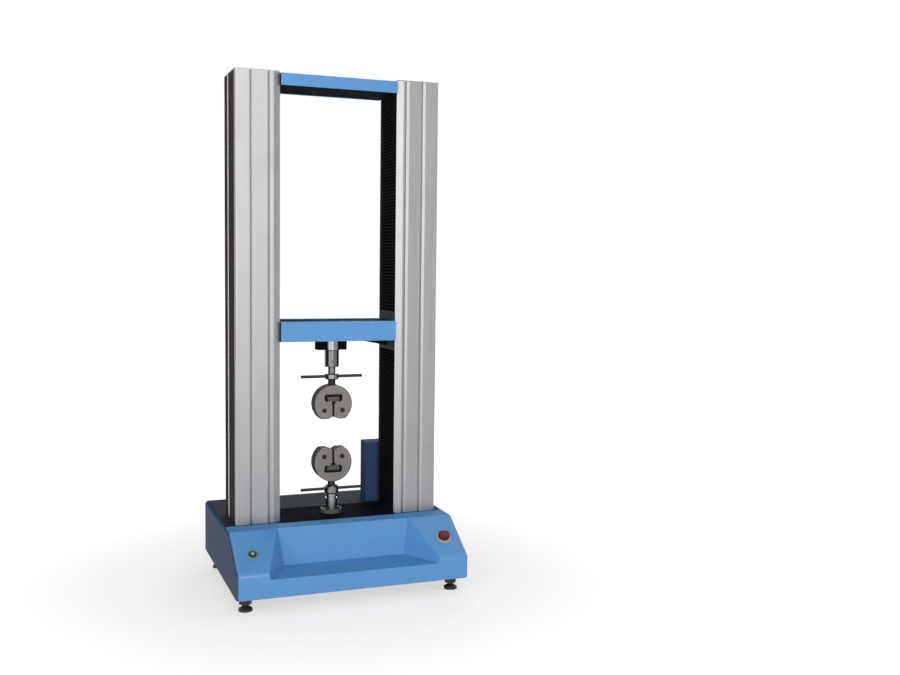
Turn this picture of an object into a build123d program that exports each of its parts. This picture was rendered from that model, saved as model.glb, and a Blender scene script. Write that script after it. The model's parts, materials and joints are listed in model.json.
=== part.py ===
from build123d import *
import os
from math import atan2, cos, degrees, hypot, pi, radians, sin, tan

# Twin-column, screw-driven universal testing machine. Millimetres, +Z up, the front faces -Y.
# The origin is on the floor under the middle of the base.

# Base
BASE_MARGIN = 44.0
FRONT_STRIP = 80.0
REAR_DECK = 246.0
FOOT_HEIGHT = 60.0
CASING_HEIGHT = 208.0
LIP_HEIGHT = 90.0
SLOPE_RUN = 188.0
CASING_WALL = 3.0
CASING_CORNER = 16.0
POCKET_DROP = 22.0
POCKET_FRONT_WING = 123.0
POCKET_BACK_WING = 211.0
POCKET_BACK_LEAN = 20.0
POCKET_SIDE_LEAN = 34.0
BOTTOM_PLATE = 8.0
RAIL_WIDTH = 22.0
RIB_THICKNESS = 16.0
FOOT_PAD_RADIUS = 26.0
FOOT_PAD_HEIGHT = 18.0
FOOT_STUD_RADIUS = 8.0
FOOT_NECK_RADIUS = 12.0
FOOT_SIDE_INSET = 45.0
FOOT_END_INSET = 76.0
LOCK_NUT_ACROSS = 42.0
LOCK_NUT_HEIGHT = 34.0

# Bed plate
BED_THICKNESS = 34.0
BED_PROUD = 2.0
BED_FRONT_STEP = 6.0
FIXTURE_SPACING_X = 300.0
FIXTURE_SPACING_Y = 140.0
FIXTURE_HOLE_RADIUS = 5.25

# Rear panel and power inlet
PANEL_THICKNESS = 2.5
PANEL_RECESS = 6.0
LOUVRE_LENGTH = 110.0
LOUVRE_HEIGHT = 5.0
LOUVRE_PITCH = 14.0
LOUVRE_ROWS = 7
LOUVRE_OFFSET = 260.0
INLET_WIDTH = 48.0
INLET_HEIGHT = 28.0
INLET_BODY = 26.0
INLET_MOUTH_WIDTH = 25.0
INLET_MOUTH_HEIGHT = 17.0
INLET_PIN_WIDTH = 2.0
INLET_PIN_HEIGHT = 4.0
INLET_EARTH_RISE = 2.8

# Columns
MACHINE_HEIGHT = 2000.0
COLUMN_INNER = 233.0
COLUMN_WIDTH = 173.0
BEAM_CLEAR = 9.0
PROFILE_THICKNESS = 14.0
BEVEL_WIDTH = 25.0
BEVEL_DEPTH = 9.0
LIP_EDGE = 3.0
GROOVE_DEPTH = 5.5
GROOVE_TAPER = 9.0
GROOVE_WIDTH = 20.0
INNER_GROOVE_AT = 39.5
OUTER_GROOVE_AT = 108.0
PROFILE_CORNER = 8.0
COVER_SHEET = 3.5
COVER_SHY = 0.5
COVER_RETURN = 16.0
CAP_THICKNESS = 4.0

# Top beam
TOP_BEAM_HEIGHT = 42.0
TOP_BEAM_SHY = 6.0
TOP_COVER_SHEET = 3.0
COVER_PROUD = 4.0
TOP_COVER_DROP = 1.0

# Drive
SCREW_RADIUS = 16.0
SCREW_JOURNAL_RADIUS = 12.0
SCREW_TOP_RADIUS = 10.0
ROD_RADIUS = 18.0
ROD_SPACING = 110.0
HOUSING_RADIUS = 36.0
HOUSING_HEIGHT = 30.0
PULLEY_RAISED = 20.0
PULLEY_HEIGHT = 34.0
PULLEY_FLANGE = 3.0
PULLEY_RIM = 4.0
SCREW_PULLEY_RADIUS = 48.0
MOTOR_PULLEY_RADIUS = 30.0
BELT_WIDTH = 22.0
BELT_THICKNESS = 3.0
MOTOR_GAP = 10.0
MOTOR_SIZE = 110.0
MOTOR_HEIGHT = 118.0
MOTOR_CORNER = 12.0
MOTOR_SHAFT_RADIUS = 9.5
MOTOR_SHAFT_REACH = 20.0
BRACKET_THICKNESS = 8.0
BRACKET_WIDTH = 200.0
BRACKET_DEPTH = 190.0
BRACKET_POST_RADIUS = 9.0
BRACKET_POST_INSET = 14.0
DRIVE_WIDTH = 120.0
DRIVE_DEPTH = 160.0
DRIVE_HEIGHT = 150.0
DRIVE_INSET = 178.0
DRIVE_GAP = 26.0

# Crosshead
CROSSHEAD_HEIGHT = 78.0
CROSSHEAD_LIP = 2.0
CROSSHEAD_SHEET = 3.0
BEAM_WALL = 6.0
ARM_OVERHANG = 58.0
NUT_RADIUS = 23.0
NUT_FLANGE_RADIUS = 34.0
NUT_FLANGE = 12.0
BUSH_RADIUS = 25.0
BUSH_FLANGE_RADIUS = 30.0
BUSH_FLANGE = 8.0
GRIP_OPENING = 117.0
GRIP_SPARE = 22.0
BELLOWS_PACKED = 363.0

# Bellows
PLEAT_DEPTH = 15.0
PLEAT_PITCH = 13.0
PLEAT_SKIN = 1.6
BELLOWS_INSET = 2.0
FLANGE_RISE = 37.0
FLANGE_DROP = 45.0

# Travel limit rod
LIMIT_ROD_RADIUS = 5.0
LIMIT_COLLAR_RADIUS = 11.0
LIMIT_COLLAR_HEIGHT = 16.0
LIMIT_MARGIN = 6.0
STRIKER_WIDTH = 30.0
STRIKER_THICKNESS = 8.0
STRIKER_REACH = 25.0
STRIKER_CLEAR = 2.5
STRIKER_ROD_GAP = 0.8

# Load string
LOAD_CELL_RADIUS = 33.0
LOAD_CELL_HEIGHT = 45.0
YOKE_WIDTH = 120.0
YOKE_HEIGHT = 44.0
YOKE_FRONT = 10.0
YOKE_BACK = 42.0
YOKE_CORNER = 3.0
COUPLING_RADIUS = 29.0
COUPLING_LENGTH = 67.0
COUPLING_SOCKET = 43.0
COUPLING_PIN_RADIUS = 7.0
COUPLING_PIN_PROUD = 3.0

# Grips
GRIP_RADIUS = 77.5
GRIP_THICKNESS = 58.0
GRIP_FLAT = 60.0
GRIP_NOTCH_RADIUS = 40.0
GRIP_NOTCH_DEPTH = 6.0
GRIP_HANG = 71.5
GRIP_STAND = 52.5
STEM_RADIUS = 15.0
WINDOW_HALF = 37.0
WINDOW_TOP = 40.0
WINDOW_BOTTOM = 12.0
WINDOW_CORNER = 9.0
WEB_HALF = 6.0
WEB_CLEAR = 1.5
WEDGE_HALF = 30.0
WEDGE_ANGLE = 15.0
JAW_GAP = 9.0
JAW_TOP = 10.0
JAW_END = 54.0
JAW_SIDE_GAP = 1.0
JAW_NOTCH = 7.0
JAW_NOTCH_DROP = 13.0
PUSHER_HALF = 24.0
PUSHER_HEIGHT = 19.0
PUSHER_ROD_RADIUS = 8.0
PUSHER_ROD_RISE = 18.5
HANDLE_CLEAR = 32.5
UPPER_HUB_HEIGHT = 24.0
LOWER_HUB_HEIGHT = 36.0
HUB_RADIUS = 29.0
HUB_CHAMFER = 4.0
HUB_LAND = 2.0
HANDLE_REACH = 126.0
HANDLE_BAR_RADIUS = 6.0
HANDLE_SOCKET = 10.0
ADAPTOR_FLANGE_RADIUS = 42.0
ADAPTOR_FLANGE = 16.0
ADAPTOR_NECK_RADIUS = 24.0
ADAPTOR_HEIGHT = 76.0
NECK_GROOVE_DROP = 10.0
NECK_GROOVE_WIDTH = 7.0
NECK_GROOVE_DEPTH = 4.0
ADAPTOR_SOCKET = 40.0
ADAPTOR_BOLT_CIRCLE = 33.5
BOLT_HEAD_RADIUS = 6.5
BOLT_HEAD_HEIGHT = 8.0
BOLT_SHANK_RADIUS = 4.0

# Buttons on the sloped front
BUTTON_INSET = 73.0
BUTTON_ALONG = 100.0
BARREL_RADIUS = 15.25
BARREL_LENGTH = 30.0
BEZEL_RADIUS = 20.0
BEZEL_HEIGHT = 4.0
PLUNGER_RADIUS = 13.0
PLUNGER_PROUD = 3.0
PLUNGER_CAP_DEPTH = 10.0
STEM_DEPTH = 21.0
STOP_COLLAR_RADIUS = 29.0
STOP_COLLAR_HEIGHT = 3.0
STOP_STEM_RADIUS = 8.0
STOP_HEAD_RADIUS = 23.0
STOP_HEAD_HEIGHT = 14.5
STOP_HEAD_GAP = 5.8
STOP_SPIGOT_RADIUS = 5.0
CONTACT_BLOCK = 32.0
CONTACT_BLOCK_LENGTH = 36.0

# Control cabinet
CABINET_EDGE = 24.0
CABINET_WIDTH = 236.0
CABINET_GAP = 26.0
CABINET_DEPTH = 80.0
CABINET_HEIGHT = 252.0
CABINET_SHEET = 2.0
CABINET_CORNER = 3.0
CABINET_RIM = 8.0
DOOR_THICKNESS = 3.0
DOOR_MARGIN = 3.0
KNUCKLE_RADIUS = 4.0
KNUCKLE_LENGTH = 20.0
HINGE_PIN_RADIUS = 2.5
HINGE_INSET = 40.0
LATCH_INSET = 16.0
LATCH_KNOB_RADIUS = 9.0
LATCH_KNOB_HEIGHT = 8.0
LATCH_SHAFT_RADIUS = 4.0
LATCH_TONGUE = 11.0
LATCH_TONGUE_WIDTH = 7.0
LATCH_TONGUE_THICKNESS = 4.0
MODULE_MARGIN = 26.0
MODULE_DEPTH = 44.0

# Clearances
RUNNING = 0.05
SLIDE_GAP = 0.3
SEAM = 1.0
SIDE_CLEARANCE = 2.0
EDGE_BREAK = 2.0

# Derived places
BASE_WIDTH = 2 * (COLUMN_INNER + COLUMN_WIDTH + BASE_MARGIN)
COLUMN_SETBACK = SLOPE_RUN + FRONT_STRIP
BEAM_HALF_DEPTH = ROD_SPACING / 2 + BUSH_RADIUS + BEAM_WALL
LOAD_AXIS_SETBACK = PROFILE_THICKNESS + BEAM_CLEAR + BEAM_HALF_DEPTH
COLUMN_DEPTH = LOAD_AXIS_SETBACK + BEAM_HALF_DEPTH + STRIKER_REACH + STRIKER_CLEAR + COVER_SHEET
BASE_DEPTH = COLUMN_SETBACK + COLUMN_DEPTH + REAR_DECK
DECK_HEIGHT = FOOT_HEIGHT + CASING_HEIGHT
BEND_HEIGHT = FOOT_HEIGHT + LIP_HEIGHT
POCKET_FLOOR = BEND_HEIGHT - POCKET_DROP
POCKET_DEPTH = SLOPE_RUN - POCKET_BACK_LEAN
POCKET_FRONT_HALF = BASE_WIDTH / 2 - POCKET_FRONT_WING
POCKET_BACK_HALF = BASE_WIDTH / 2 - POCKET_BACK_WING
BUTTON_X = BASE_WIDTH / 2 - BUTTON_INSET
FRONT_Y = -BASE_DEPTH / 2
BACK_Y = BASE_DEPTH / 2
COLUMN_OUTER = COLUMN_INNER + COLUMN_WIDTH
COLUMN_CENTRE = COLUMN_INNER + COLUMN_WIDTH / 2
COLUMN_FRONT = FRONT_Y + COLUMN_SETBACK
COLUMN_BACK = COLUMN_FRONT + COLUMN_DEPTH
PROFILE_BACK = COLUMN_FRONT + PROFILE_THICKNESS
AXIS_Y = COLUMN_FRONT + LOAD_AXIS_SETBACK
BED_TOP = DECK_HEIGHT + BED_PROUD
BED_BOTTOM = BED_TOP - BED_THICKNESS
FLOOR_TOP = FOOT_HEIGHT + BOTTOM_PLATE
PULLEY_BOTTOM = FLOOR_TOP + PULLEY_RAISED
COLUMN_TOP = MACHINE_HEIGHT - CAP_THICKNESS
TOP_BEAM_BOTTOM = COLUMN_TOP - TOP_BEAM_SHY - TOP_BEAM_HEIGHT
NECK_TOP = BED_TOP + ADAPTOR_HEIGHT
LOWER_GRIP_Z = NECK_TOP + GRIP_STAND + GRIP_RADIUS
UPPER_GRIP_Z = LOWER_GRIP_Z + GRIP_OPENING + 2 * GRIP_FLAT
COUPLING_BOTTOM = UPPER_GRIP_Z + GRIP_RADIUS + GRIP_HANG
CELL_BOTTOM = COUPLING_BOTTOM + COUPLING_LENGTH
BEAM_BOTTOM = CELL_BOTTOM + LOAD_CELL_HEIGHT
BEAM_TOP = BEAM_BOTTOM + CROSSHEAD_HEIGHT - 2 * CROSSHEAD_LIP
CROSSHEAD_MIDDLE = (BEAM_BOTTOM + BEAM_TOP) / 2
TRAVEL_DOWN = GRIP_OPENING - GRIP_SPARE
TRAVEL_UP = TOP_BEAM_BOTTOM - BEAM_TOP - FLANGE_RISE - BELLOWS_PACKED
BEAM_FRONT = AXIS_Y - BEAM_HALF_DEPTH
BEAM_BACK = AXIS_Y + BEAM_HALF_DEPTH
MOTOR_Y = COLUMN_BACK + MOTOR_GAP + MOTOR_SIZE / 2
COVER_HALF = COLUMN_INNER - SIDE_CLEARANCE
COVER_FRONT = COLUMN_FRONT - COVER_PROUD
COVER_BACK = COLUMN_BACK - COVER_PROUD
ROD_YS = (AXIS_Y - ROD_SPACING / 2, AXIS_Y + ROD_SPACING / 2)
SCREW_XS = (-COLUMN_CENTRE, COLUMN_CENTRE)
SLOPE_ANGLE = degrees(atan2(DECK_HEIGHT - BEND_HEIGHT, SLOPE_RUN))


def block(x0, x1, y0, y1, z0, z1):
    """A box between two corners."""
    centre = ((x0 + x1) / 2, (y0 + y1) / 2, (z0 + z1) / 2)
    return Pos(*centre) * Box(x1 - x0, y1 - y0, z1 - z0)


def post(radius, x, y, z0, z1):
    """An upright cylinder."""
    return Pos(x, y, (z0 + z1) / 2) * Cylinder(radius, z1 - z0)


def cross_rod(radius, y0, y1, x, z):
    """A cylinder along Y."""
    return Pos(x, (y0 + y1) / 2, z) * Rot(90, 0, 0) * Cylinder(radius, y1 - y0)


def side_rod(radius, x0, x1, y, z):
    """A cylinder along X."""
    return Pos((x0 + x1) / 2, y, z) * Rot(0, 90, 0) * Cylinder(radius, x1 - x0)


def prism_x(points, x0, x1):
    """A (y, z) outline drawn out along X."""
    face = make_face(Polyline([(x0, y, z) for y, z in points], close=True))
    return extrude(face, amount=x1 - x0, dir=(1, 0, 0))


def prism_y(points, y0, y1):
    """An (x, z) outline drawn out along Y."""
    face = make_face(Polyline([(x, y0, z) for x, z in points], close=True))
    return extrude(face, amount=y1 - y0, dir=(0, 1, 0))


def prism_z(points, z0, z1):
    """An (x, y) outline drawn out along Z."""
    face = make_face(Polyline([(x, y, z0) for x, y in points], close=True))
    return extrude(face, amount=z1 - z0, dir=(0, 0, 1))


def mirrored(shape):
    """The same piece on the other side of the machine."""
    return mirror(shape, about=Plane.YZ)


def save(name, *pieces):
    """Writes one node: a single solid, or a group of separate solids."""
    solids = [solid for piece in pieces for solid in piece.solids()]
    shape = solids[0] if len(solids) == 1 else Compound(solids)
    export_step(shape, f"parts/{name}.step")


def slope_place(x, along):
    """A place on the sloped front, its Z axis square to the slope."""
    lean = radians(SLOPE_ANGLE)
    at = (x, FRONT_Y + along * cos(lean), BEND_HEIGHT + along * sin(lean))
    return Plane(origin=at, x_dir=(1, 0, 0), z_dir=(0, -sin(lean), cos(lean))).location


# Base casing
def casing_outline(inset, back, bottom):
    """The casing seen from the side, moved inwards by inset at the lip, the slope and the deck."""
    lean = radians(SLOPE_ANGLE)
    front = FRONT_Y + inset
    top = DECK_HEIGHT - inset
    bend = BEND_HEIGHT + inset * (tan(lean) - 1 / cos(lean))
    crest = front + (top - bend) / tan(lean)
    return [(front, bottom), (front, bend), (crest, top), (back, top), (back, bottom)]


def casing_block(inset, back, bottom, corner):
    half = BASE_WIDTH / 2 - inset
    solid = prism_x(casing_outline(inset, back, bottom), -half, half)
    front_edges = solid.edges().filter_by(lambda edge: edge.center().Z > bottom + SEAM)
    rounded = front_edges.filter_by(lambda edge: edge.center().Y < back - SEAM)
    return fillet(rounded, corner)


def pocket_block(grow):
    """The tray pocket's space, made larger by grow on its floor, sides and back."""
    floor_z = POCKET_FLOOR - grow
    top_z = DECK_HEIGHT + CASING_CORNER
    rise = DECK_HEIGHT - POCKET_FLOOR
    taper = (POCKET_FRONT_HALF - POCKET_BACK_HALF) / POCKET_DEPTH
    mouth = -CASING_CORNER

    def outline(z):
        climb = (z - POCKET_FLOOR) / rise
        back = POCKET_DEPTH + POCKET_BACK_LEAN * climb + grow
        wide = POCKET_FRONT_HALF + POCKET_SIDE_LEAN * climb + grow * hypot(1, taper)
        corners = [(wide - taper * mouth, mouth), (wide - taper * back, back)]
        right = [(x, FRONT_Y + y, z) for x, y in corners]
        left = [(-x, y, z) for x, y, z in reversed(right)]
        return make_face(Polyline(right + left, close=True))

    return loft([outline(floor_z), outline(top_z)])


def bed_outline(grow):
    """The bed plate from above: narrow in front between the columns, wide under them."""
    narrow = COVER_HALF + grow
    wide = COLUMN_OUTER - SEAM - SIDE_CLEARANCE + grow
    front = COLUMN_FRONT - BED_FRONT_STEP - grow
    step = COLUMN_FRONT + SIDE_CLEARANCE - grow
    back = COLUMN_BACK - SIDE_CLEARANCE + grow
    right = [(narrow, front), (narrow, step), (wide, step), (wide, back)]
    return right + [(-x, y) for x, y in reversed(right)]


outer = casing_block(0, BACK_Y, FOOT_HEIGHT, CASING_CORNER)
inner = casing_block(
    CASING_WALL, BACK_Y + CASING_WALL, FOOT_HEIGHT - CASING_WALL, CASING_CORNER - CASING_WALL
)
casing = outer - inner
casing += pocket_block(CASING_WALL) & outer
casing -= pocket_block(0)
casing -= prism_z(bed_outline(SEAM), DECK_HEIGHT - 2 * CASING_WALL, DECK_HEIGHT + CASING_WALL)
for x in (-BUTTON_X, BUTTON_X):
    hole = Cylinder(BARREL_RADIUS + RUNNING, 4 * CASING_WALL)
    casing -= slope_place(x, BUTTON_ALONG) * hole
save("base_casing", casing)

# Base frame: bottom plate, side rails and front rib under the bed plate
plate_half = BASE_WIDTH / 2 - CASING_WALL - SLIDE_GAP
plate_front = FRONT_Y + CASING_WALL + SLIDE_GAP
plate_back = BACK_Y - PANEL_RECESS - PANEL_THICKNESS
rail_outer = COLUMN_OUTER - SEAM - SIDE_CLEARANCE
frame_front = COLUMN_FRONT + SIDE_CLEARANCE
frame_back = COLUMN_BACK - SIDE_CLEARANCE
frame = block(-plate_half, plate_half, plate_front, plate_back, FOOT_HEIGHT, FLOOR_TOP)
corner_posts = frame.edges().filter_by(Axis.Z).filter_by(lambda edge: edge.center().Y < 0)
frame = fillet(corner_posts, CASING_CORNER)
frame += block(-rail_outer, rail_outer, frame_front, frame_front + RIB_THICKNESS, FLOOR_TOP, BED_BOTTOM)
for side in (-1, 1):
    edge_a = side * rail_outer
    edge_b = side * (rail_outer - RAIL_WIDTH)
    frame += block(min(edge_a, edge_b), max(edge_a, edge_b), frame_front, frame_back, FLOOR_TOP, BED_BOTTOM)
save("base_frame", frame)

# Bed plate with fixture holes and passages for the screws
bed = prism_z(bed_outline(0), BED_BOTTOM, BED_TOP)
for x in (-FIXTURE_SPACING_X / 2, FIXTURE_SPACING_X / 2):
    for y in (AXIS_Y - FIXTURE_SPACING_Y / 2, AXIS_Y + FIXTURE_SPACING_Y / 2):
        bed -= post(FIXTURE_HOLE_RADIUS, x, y, BED_BOTTOM - SEAM, BED_TOP + SEAM)
for x in SCREW_XS:
    bed -= post(SCREW_RADIUS + SEAM, x, AXIS_Y, BED_BOTTOM - SEAM, BED_TOP + SEAM)
save("bed_plate", bed)

# Levelling feet and lock nuts
foot_x = BASE_WIDTH / 2 - FOOT_SIDE_INSET
foot_y = BASE_DEPTH / 2 - FOOT_END_INSET
foot_places = [(x, y) for x in (-foot_x, foot_x) for y in (-foot_y, foot_y)]
foot_profile = [
    (0, 0),
    (FOOT_PAD_RADIUS, 0),
    (FOOT_PAD_RADIUS, FOOT_PAD_HEIGHT / 2),
    (FOOT_NECK_RADIUS, FOOT_PAD_HEIGHT),
    (FOOT_STUD_RADIUS, FOOT_PAD_HEIGHT),
    (FOOT_STUD_RADIUS, FOOT_HEIGHT),
    (0, FOOT_HEIGHT),
]
foot_face = make_face(Polyline([(r, 0, z) for r, z in foot_profile], close=True))
foot = revolve(foot_face, Axis.Z)
feet = [Pos(x, y, 0) * foot for x, y in foot_places]
nut_bottom = FOOT_HEIGHT - LOCK_NUT_HEIGHT
nut = extrude(RegularPolygon(LOCK_NUT_ACROSS / 2, 6, major_radius=False), LOCK_NUT_HEIGHT)
nut -= Cylinder(FOOT_STUD_RADIUS + RUNNING, 3 * LOCK_NUT_HEIGHT)
lock_nuts = [Pos(x, y, nut_bottom) * nut for x, y in foot_places]
save("levelling_feet", *feet, *lock_nuts)

# Rear panel with louvres, and the power inlet in it
panel_y0 = BACK_Y - PANEL_RECESS - PANEL_THICKNESS
panel_y1 = BACK_Y - PANEL_RECESS
panel_top = DECK_HEIGHT - CASING_WALL - SLIDE_GAP
panel_mid = (FOOT_HEIGHT + panel_top) / 2
panel = block(-plate_half, plate_half, panel_y0, panel_y1, FOOT_HEIGHT, panel_top)
panel = fillet(panel.edges().filter_by(Axis.Y).group_by(Axis.Z)[-1], CASING_CORNER)
for x in (-LOUVRE_OFFSET, LOUVRE_OFFSET):
    for row in range(LOUVRE_ROWS):
        z = panel_mid + (row - (LOUVRE_ROWS - 1) / 2) * LOUVRE_PITCH
        half = LOUVRE_LENGTH / 2
        slot = (x - half, x + half, panel_y0 - SEAM, panel_y1 + SEAM)
        panel -= block(*slot, z - LOUVRE_HEIGHT / 2, z + LOUVRE_HEIGHT / 2)
inlet_gap = INLET_WIDTH / 2 - PANEL_THICKNESS
inlet_rise = INLET_HEIGHT / 2 - PANEL_THICKNESS
inlet_hole = (panel_y0 - SEAM, panel_y1 + SEAM, panel_mid - inlet_rise, panel_mid + inlet_rise)
panel -= block(-inlet_gap, inlet_gap, *inlet_hole)
save("rear_panel", panel)
inlet_shy = SLIDE_GAP / 2
inlet = block(
    -inlet_gap + inlet_shy,
    inlet_gap - inlet_shy,
    panel_y1 - INLET_BODY,
    panel_y1,
    panel_mid - inlet_rise + inlet_shy,
    panel_mid + inlet_rise - inlet_shy,
)
face_rise = (panel_mid - INLET_HEIGHT / 2, panel_mid + INLET_HEIGHT / 2)
inlet += block(-INLET_WIDTH / 2, INLET_WIDTH / 2, panel_y1, panel_y1 + PANEL_THICKNESS, *face_rise)
mouth_half = INLET_MOUTH_WIDTH / 2
mouth_rise = INLET_MOUTH_HEIGHT / 2
mouth_floor = panel_y1 - INLET_BODY + 2 * PANEL_THICKNESS
mouth = (mouth_floor, panel_y1 + 2 * PANEL_THICKNESS, panel_mid - mouth_rise, panel_mid + mouth_rise)
inlet -= block(-mouth_half, mouth_half, *mouth)
for step in (-1, 0, 1):
    x = step * mouth_half / 2
    z0 = panel_mid - INLET_PIN_HEIGHT / 2 + (0 if step else INLET_EARTH_RISE)
    pin = (mouth_floor - SEAM, panel_y1 - PANEL_THICKNESS, z0, z0 + INLET_PIN_HEIGHT)
    inlet += block(x - INLET_PIN_WIDTH / 2, x + INLET_PIN_WIDTH / 2, *pin)
save("power_inlet", inlet)


# Columns
def profile_outline():
    """Half-plan of a column front: (distance from the inner face, distance from the front)."""

    def groove(at):
        foot_half = GROOVE_WIDTH / 2 - GROOVE_TAPER
        return [
            (at - GROOVE_WIDTH / 2, 0),
            (at - foot_half, GROOVE_DEPTH),
            (at + foot_half, GROOVE_DEPTH),
            (at + GROOVE_WIDTH / 2, 0),
        ]

    front = [(0, BEVEL_DEPTH), (BEVEL_WIDTH, 0)]
    front += groove(INNER_GROOVE_AT)
    front += groove(OUTER_GROOVE_AT)
    back = [(COLUMN_WIDTH, 0), (COLUMN_WIDTH, PROFILE_THICKNESS)]
    back += [(LIP_EDGE, PROFILE_THICKNESS), (0, BEVEL_DEPTH + LIP_EDGE)]
    return front + back


profile_points = [(COLUMN_INNER + u, COLUMN_FRONT + y) for u, y in profile_outline()]
front_profile = prism_z(profile_points, BED_TOP, COLUMN_TOP)
corner_edge = front_profile.edges().filter_by(Axis.Z).filter_by(
    lambda edge: edge.center().X > COLUMN_OUTER - SEAM and edge.center().Y < COLUMN_FRONT + SEAM
)
front_profile = fillet(corner_edge, PROFILE_CORNER)
save("column_front_right", front_profile)
save("column_front_left", mirrored(front_profile))

cover_outer = COLUMN_OUTER - COVER_SHY
cover_inner = COLUMN_INNER + LIP_EDGE
cover_points = [
    (cover_outer, PROFILE_BACK),
    (cover_outer, COLUMN_BACK),
    (cover_inner, COLUMN_BACK),
    (cover_inner, COLUMN_BACK - COVER_RETURN),
    (cover_inner + COVER_SHEET, COLUMN_BACK - COVER_RETURN),
    (cover_inner + COVER_SHEET, COLUMN_BACK - COVER_SHEET),
    (cover_outer - COVER_SHEET, COLUMN_BACK - COVER_SHEET),
    (cover_outer - COVER_SHEET, PROFILE_BACK),
]
side_cover = prism_z(cover_points, BED_TOP, COLUMN_TOP)
save("column_cover_right", side_cover)
save("column_cover_left", mirrored(side_cover))

cap_plan = (COLUMN_INNER + LIP_EDGE, COLUMN_OUTER, COLUMN_FRONT + LIP_EDGE, COLUMN_BACK)
cap = block(*cap_plan, COLUMN_TOP, MACHINE_HEIGHT)
cap = chamfer(cap.faces().sort_by(Axis.Z)[-1].edges(), CAP_THICKNESS / 4)
save("column_caps", cap, mirrored(cap))

rods = [post(ROD_RADIUS, x, y, BED_TOP, TOP_BEAM_BOTTOM) for x in SCREW_XS for y in ROD_YS]
save("guide_rods", *rods)

# Top beam and its cover
top_beam_top = TOP_BEAM_BOTTOM + TOP_BEAM_HEIGHT
beam_reach = cover_outer - COVER_SHEET - SEAM
top_front = PROFILE_BACK + COVER_PROUD
top_back = COLUMN_BACK - COVER_RETURN - SEAM
top_beam = block(-beam_reach, beam_reach, top_front, top_back, TOP_BEAM_BOTTOM, top_beam_top)
save("top_beam", top_beam)
cover_bottom = TOP_BEAM_BOTTOM - TOP_COVER_DROP
cover_top = top_beam_top + TOP_COVER_SHEET
top_cover = block(-COVER_HALF, COVER_HALF, COVER_FRONT, COVER_BACK, cover_bottom, cover_top)
top_cover = fillet(top_cover.edges().filter_by(Axis.X).group_by(Axis.Z)[-1], TOP_COVER_SHEET)
hollow = (COVER_FRONT + TOP_COVER_SHEET, COVER_BACK - TOP_COVER_SHEET, cover_bottom - SEAM, top_beam_top)
top_cover -= block(-COLUMN_INNER, COLUMN_INNER, *hollow)
save("top_cover", top_cover)

# Ball screws, their bearings and pulleys
housing_under = BED_BOTTOM - HOUSING_HEIGHT
upper_housing = TOP_BEAM_BOTTOM - HOUSING_HEIGHT
screw_foot = BED_TOP + SEAM
screw_end = upper_housing - SLIDE_GAP
housings = []
for x in SCREW_XS:
    low = post(HOUSING_RADIUS, x, AXIS_Y, housing_under, BED_BOTTOM)
    low -= post(SCREW_JOURNAL_RADIUS + RUNNING, x, AXIS_Y, housing_under - SEAM, BED_BOTTOM + SEAM)
    high = post(HOUSING_RADIUS, x, AXIS_Y, upper_housing, TOP_BEAM_BOTTOM)
    high -= post(SCREW_TOP_RADIUS + RUNNING, x, AXIS_Y, upper_housing - SEAM, TOP_BEAM_BOTTOM + SEAM)
    housings += [low, high]
save("screw_bearing_housings", *housings)

pulley_top = PULLEY_BOTTOM + PULLEY_HEIGHT
pulley_middle = PULLEY_BOTTOM + PULLEY_HEIGHT / 2


def pulley(radius, bore, x, y):
    """A belt pulley with a flange at each side of its rim."""
    drum = post(radius, x, y, PULLEY_BOTTOM, pulley_top)
    for z in (PULLEY_BOTTOM, pulley_top - PULLEY_FLANGE):
        drum += post(radius + PULLEY_RIM, x, y, z, z + PULLEY_FLANGE)
    return drum - post(bore + RUNNING, x, y, PULLEY_BOTTOM - SEAM, pulley_top + SEAM)


for name, x in zip(("left", "right"), SCREW_XS):
    journal_end = PULLEY_BOTTOM - PULLEY_FLANGE
    screw = post(SCREW_JOURNAL_RADIUS, x, AXIS_Y, journal_end, screw_foot)
    screw += post(SCREW_RADIUS, x, AXIS_Y, screw_foot, screw_end)
    screw += post(SCREW_TOP_RADIUS, x, AXIS_Y, screw_end, TOP_BEAM_BOTTOM - SLIDE_GAP)
    save(f"ball_screw_{name}", screw)
    save(f"screw_pulley_{name}", pulley(SCREW_PULLEY_RADIUS, SCREW_JOURNAL_RADIUS, x, AXIS_Y))

# Servo motor, bracket, pulley, belt and drive
bracket_bottom = pulley_top + PULLEY_FLANGE
bracket_top = bracket_bottom + BRACKET_THICKNESS
motor_top = bracket_top + MOTOR_HEIGHT
bracket_front = MOTOR_Y - BRACKET_DEPTH / 2
bracket_back = MOTOR_Y + BRACKET_DEPTH / 2
bracket = block(
    -BRACKET_WIDTH / 2, BRACKET_WIDTH / 2, bracket_front, bracket_back, bracket_bottom, bracket_top
)
bracket -= post(MOTOR_SHAFT_RADIUS + SIDE_CLEARANCE, 0, MOTOR_Y, bracket_bottom - SEAM, bracket_top + SEAM)
post_side = BRACKET_WIDTH / 2 - BRACKET_POST_INSET
post_back = bracket_back - BRACKET_POST_INSET
post_front = bracket_front + BRACKET_POST_INSET
for x, y in ((-post_side, post_back), (post_side, post_back), (0, post_front)):
    bracket += post(BRACKET_POST_RADIUS, x, y, FLOOR_TOP, bracket_bottom)
save("motor_bracket", bracket)

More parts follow.
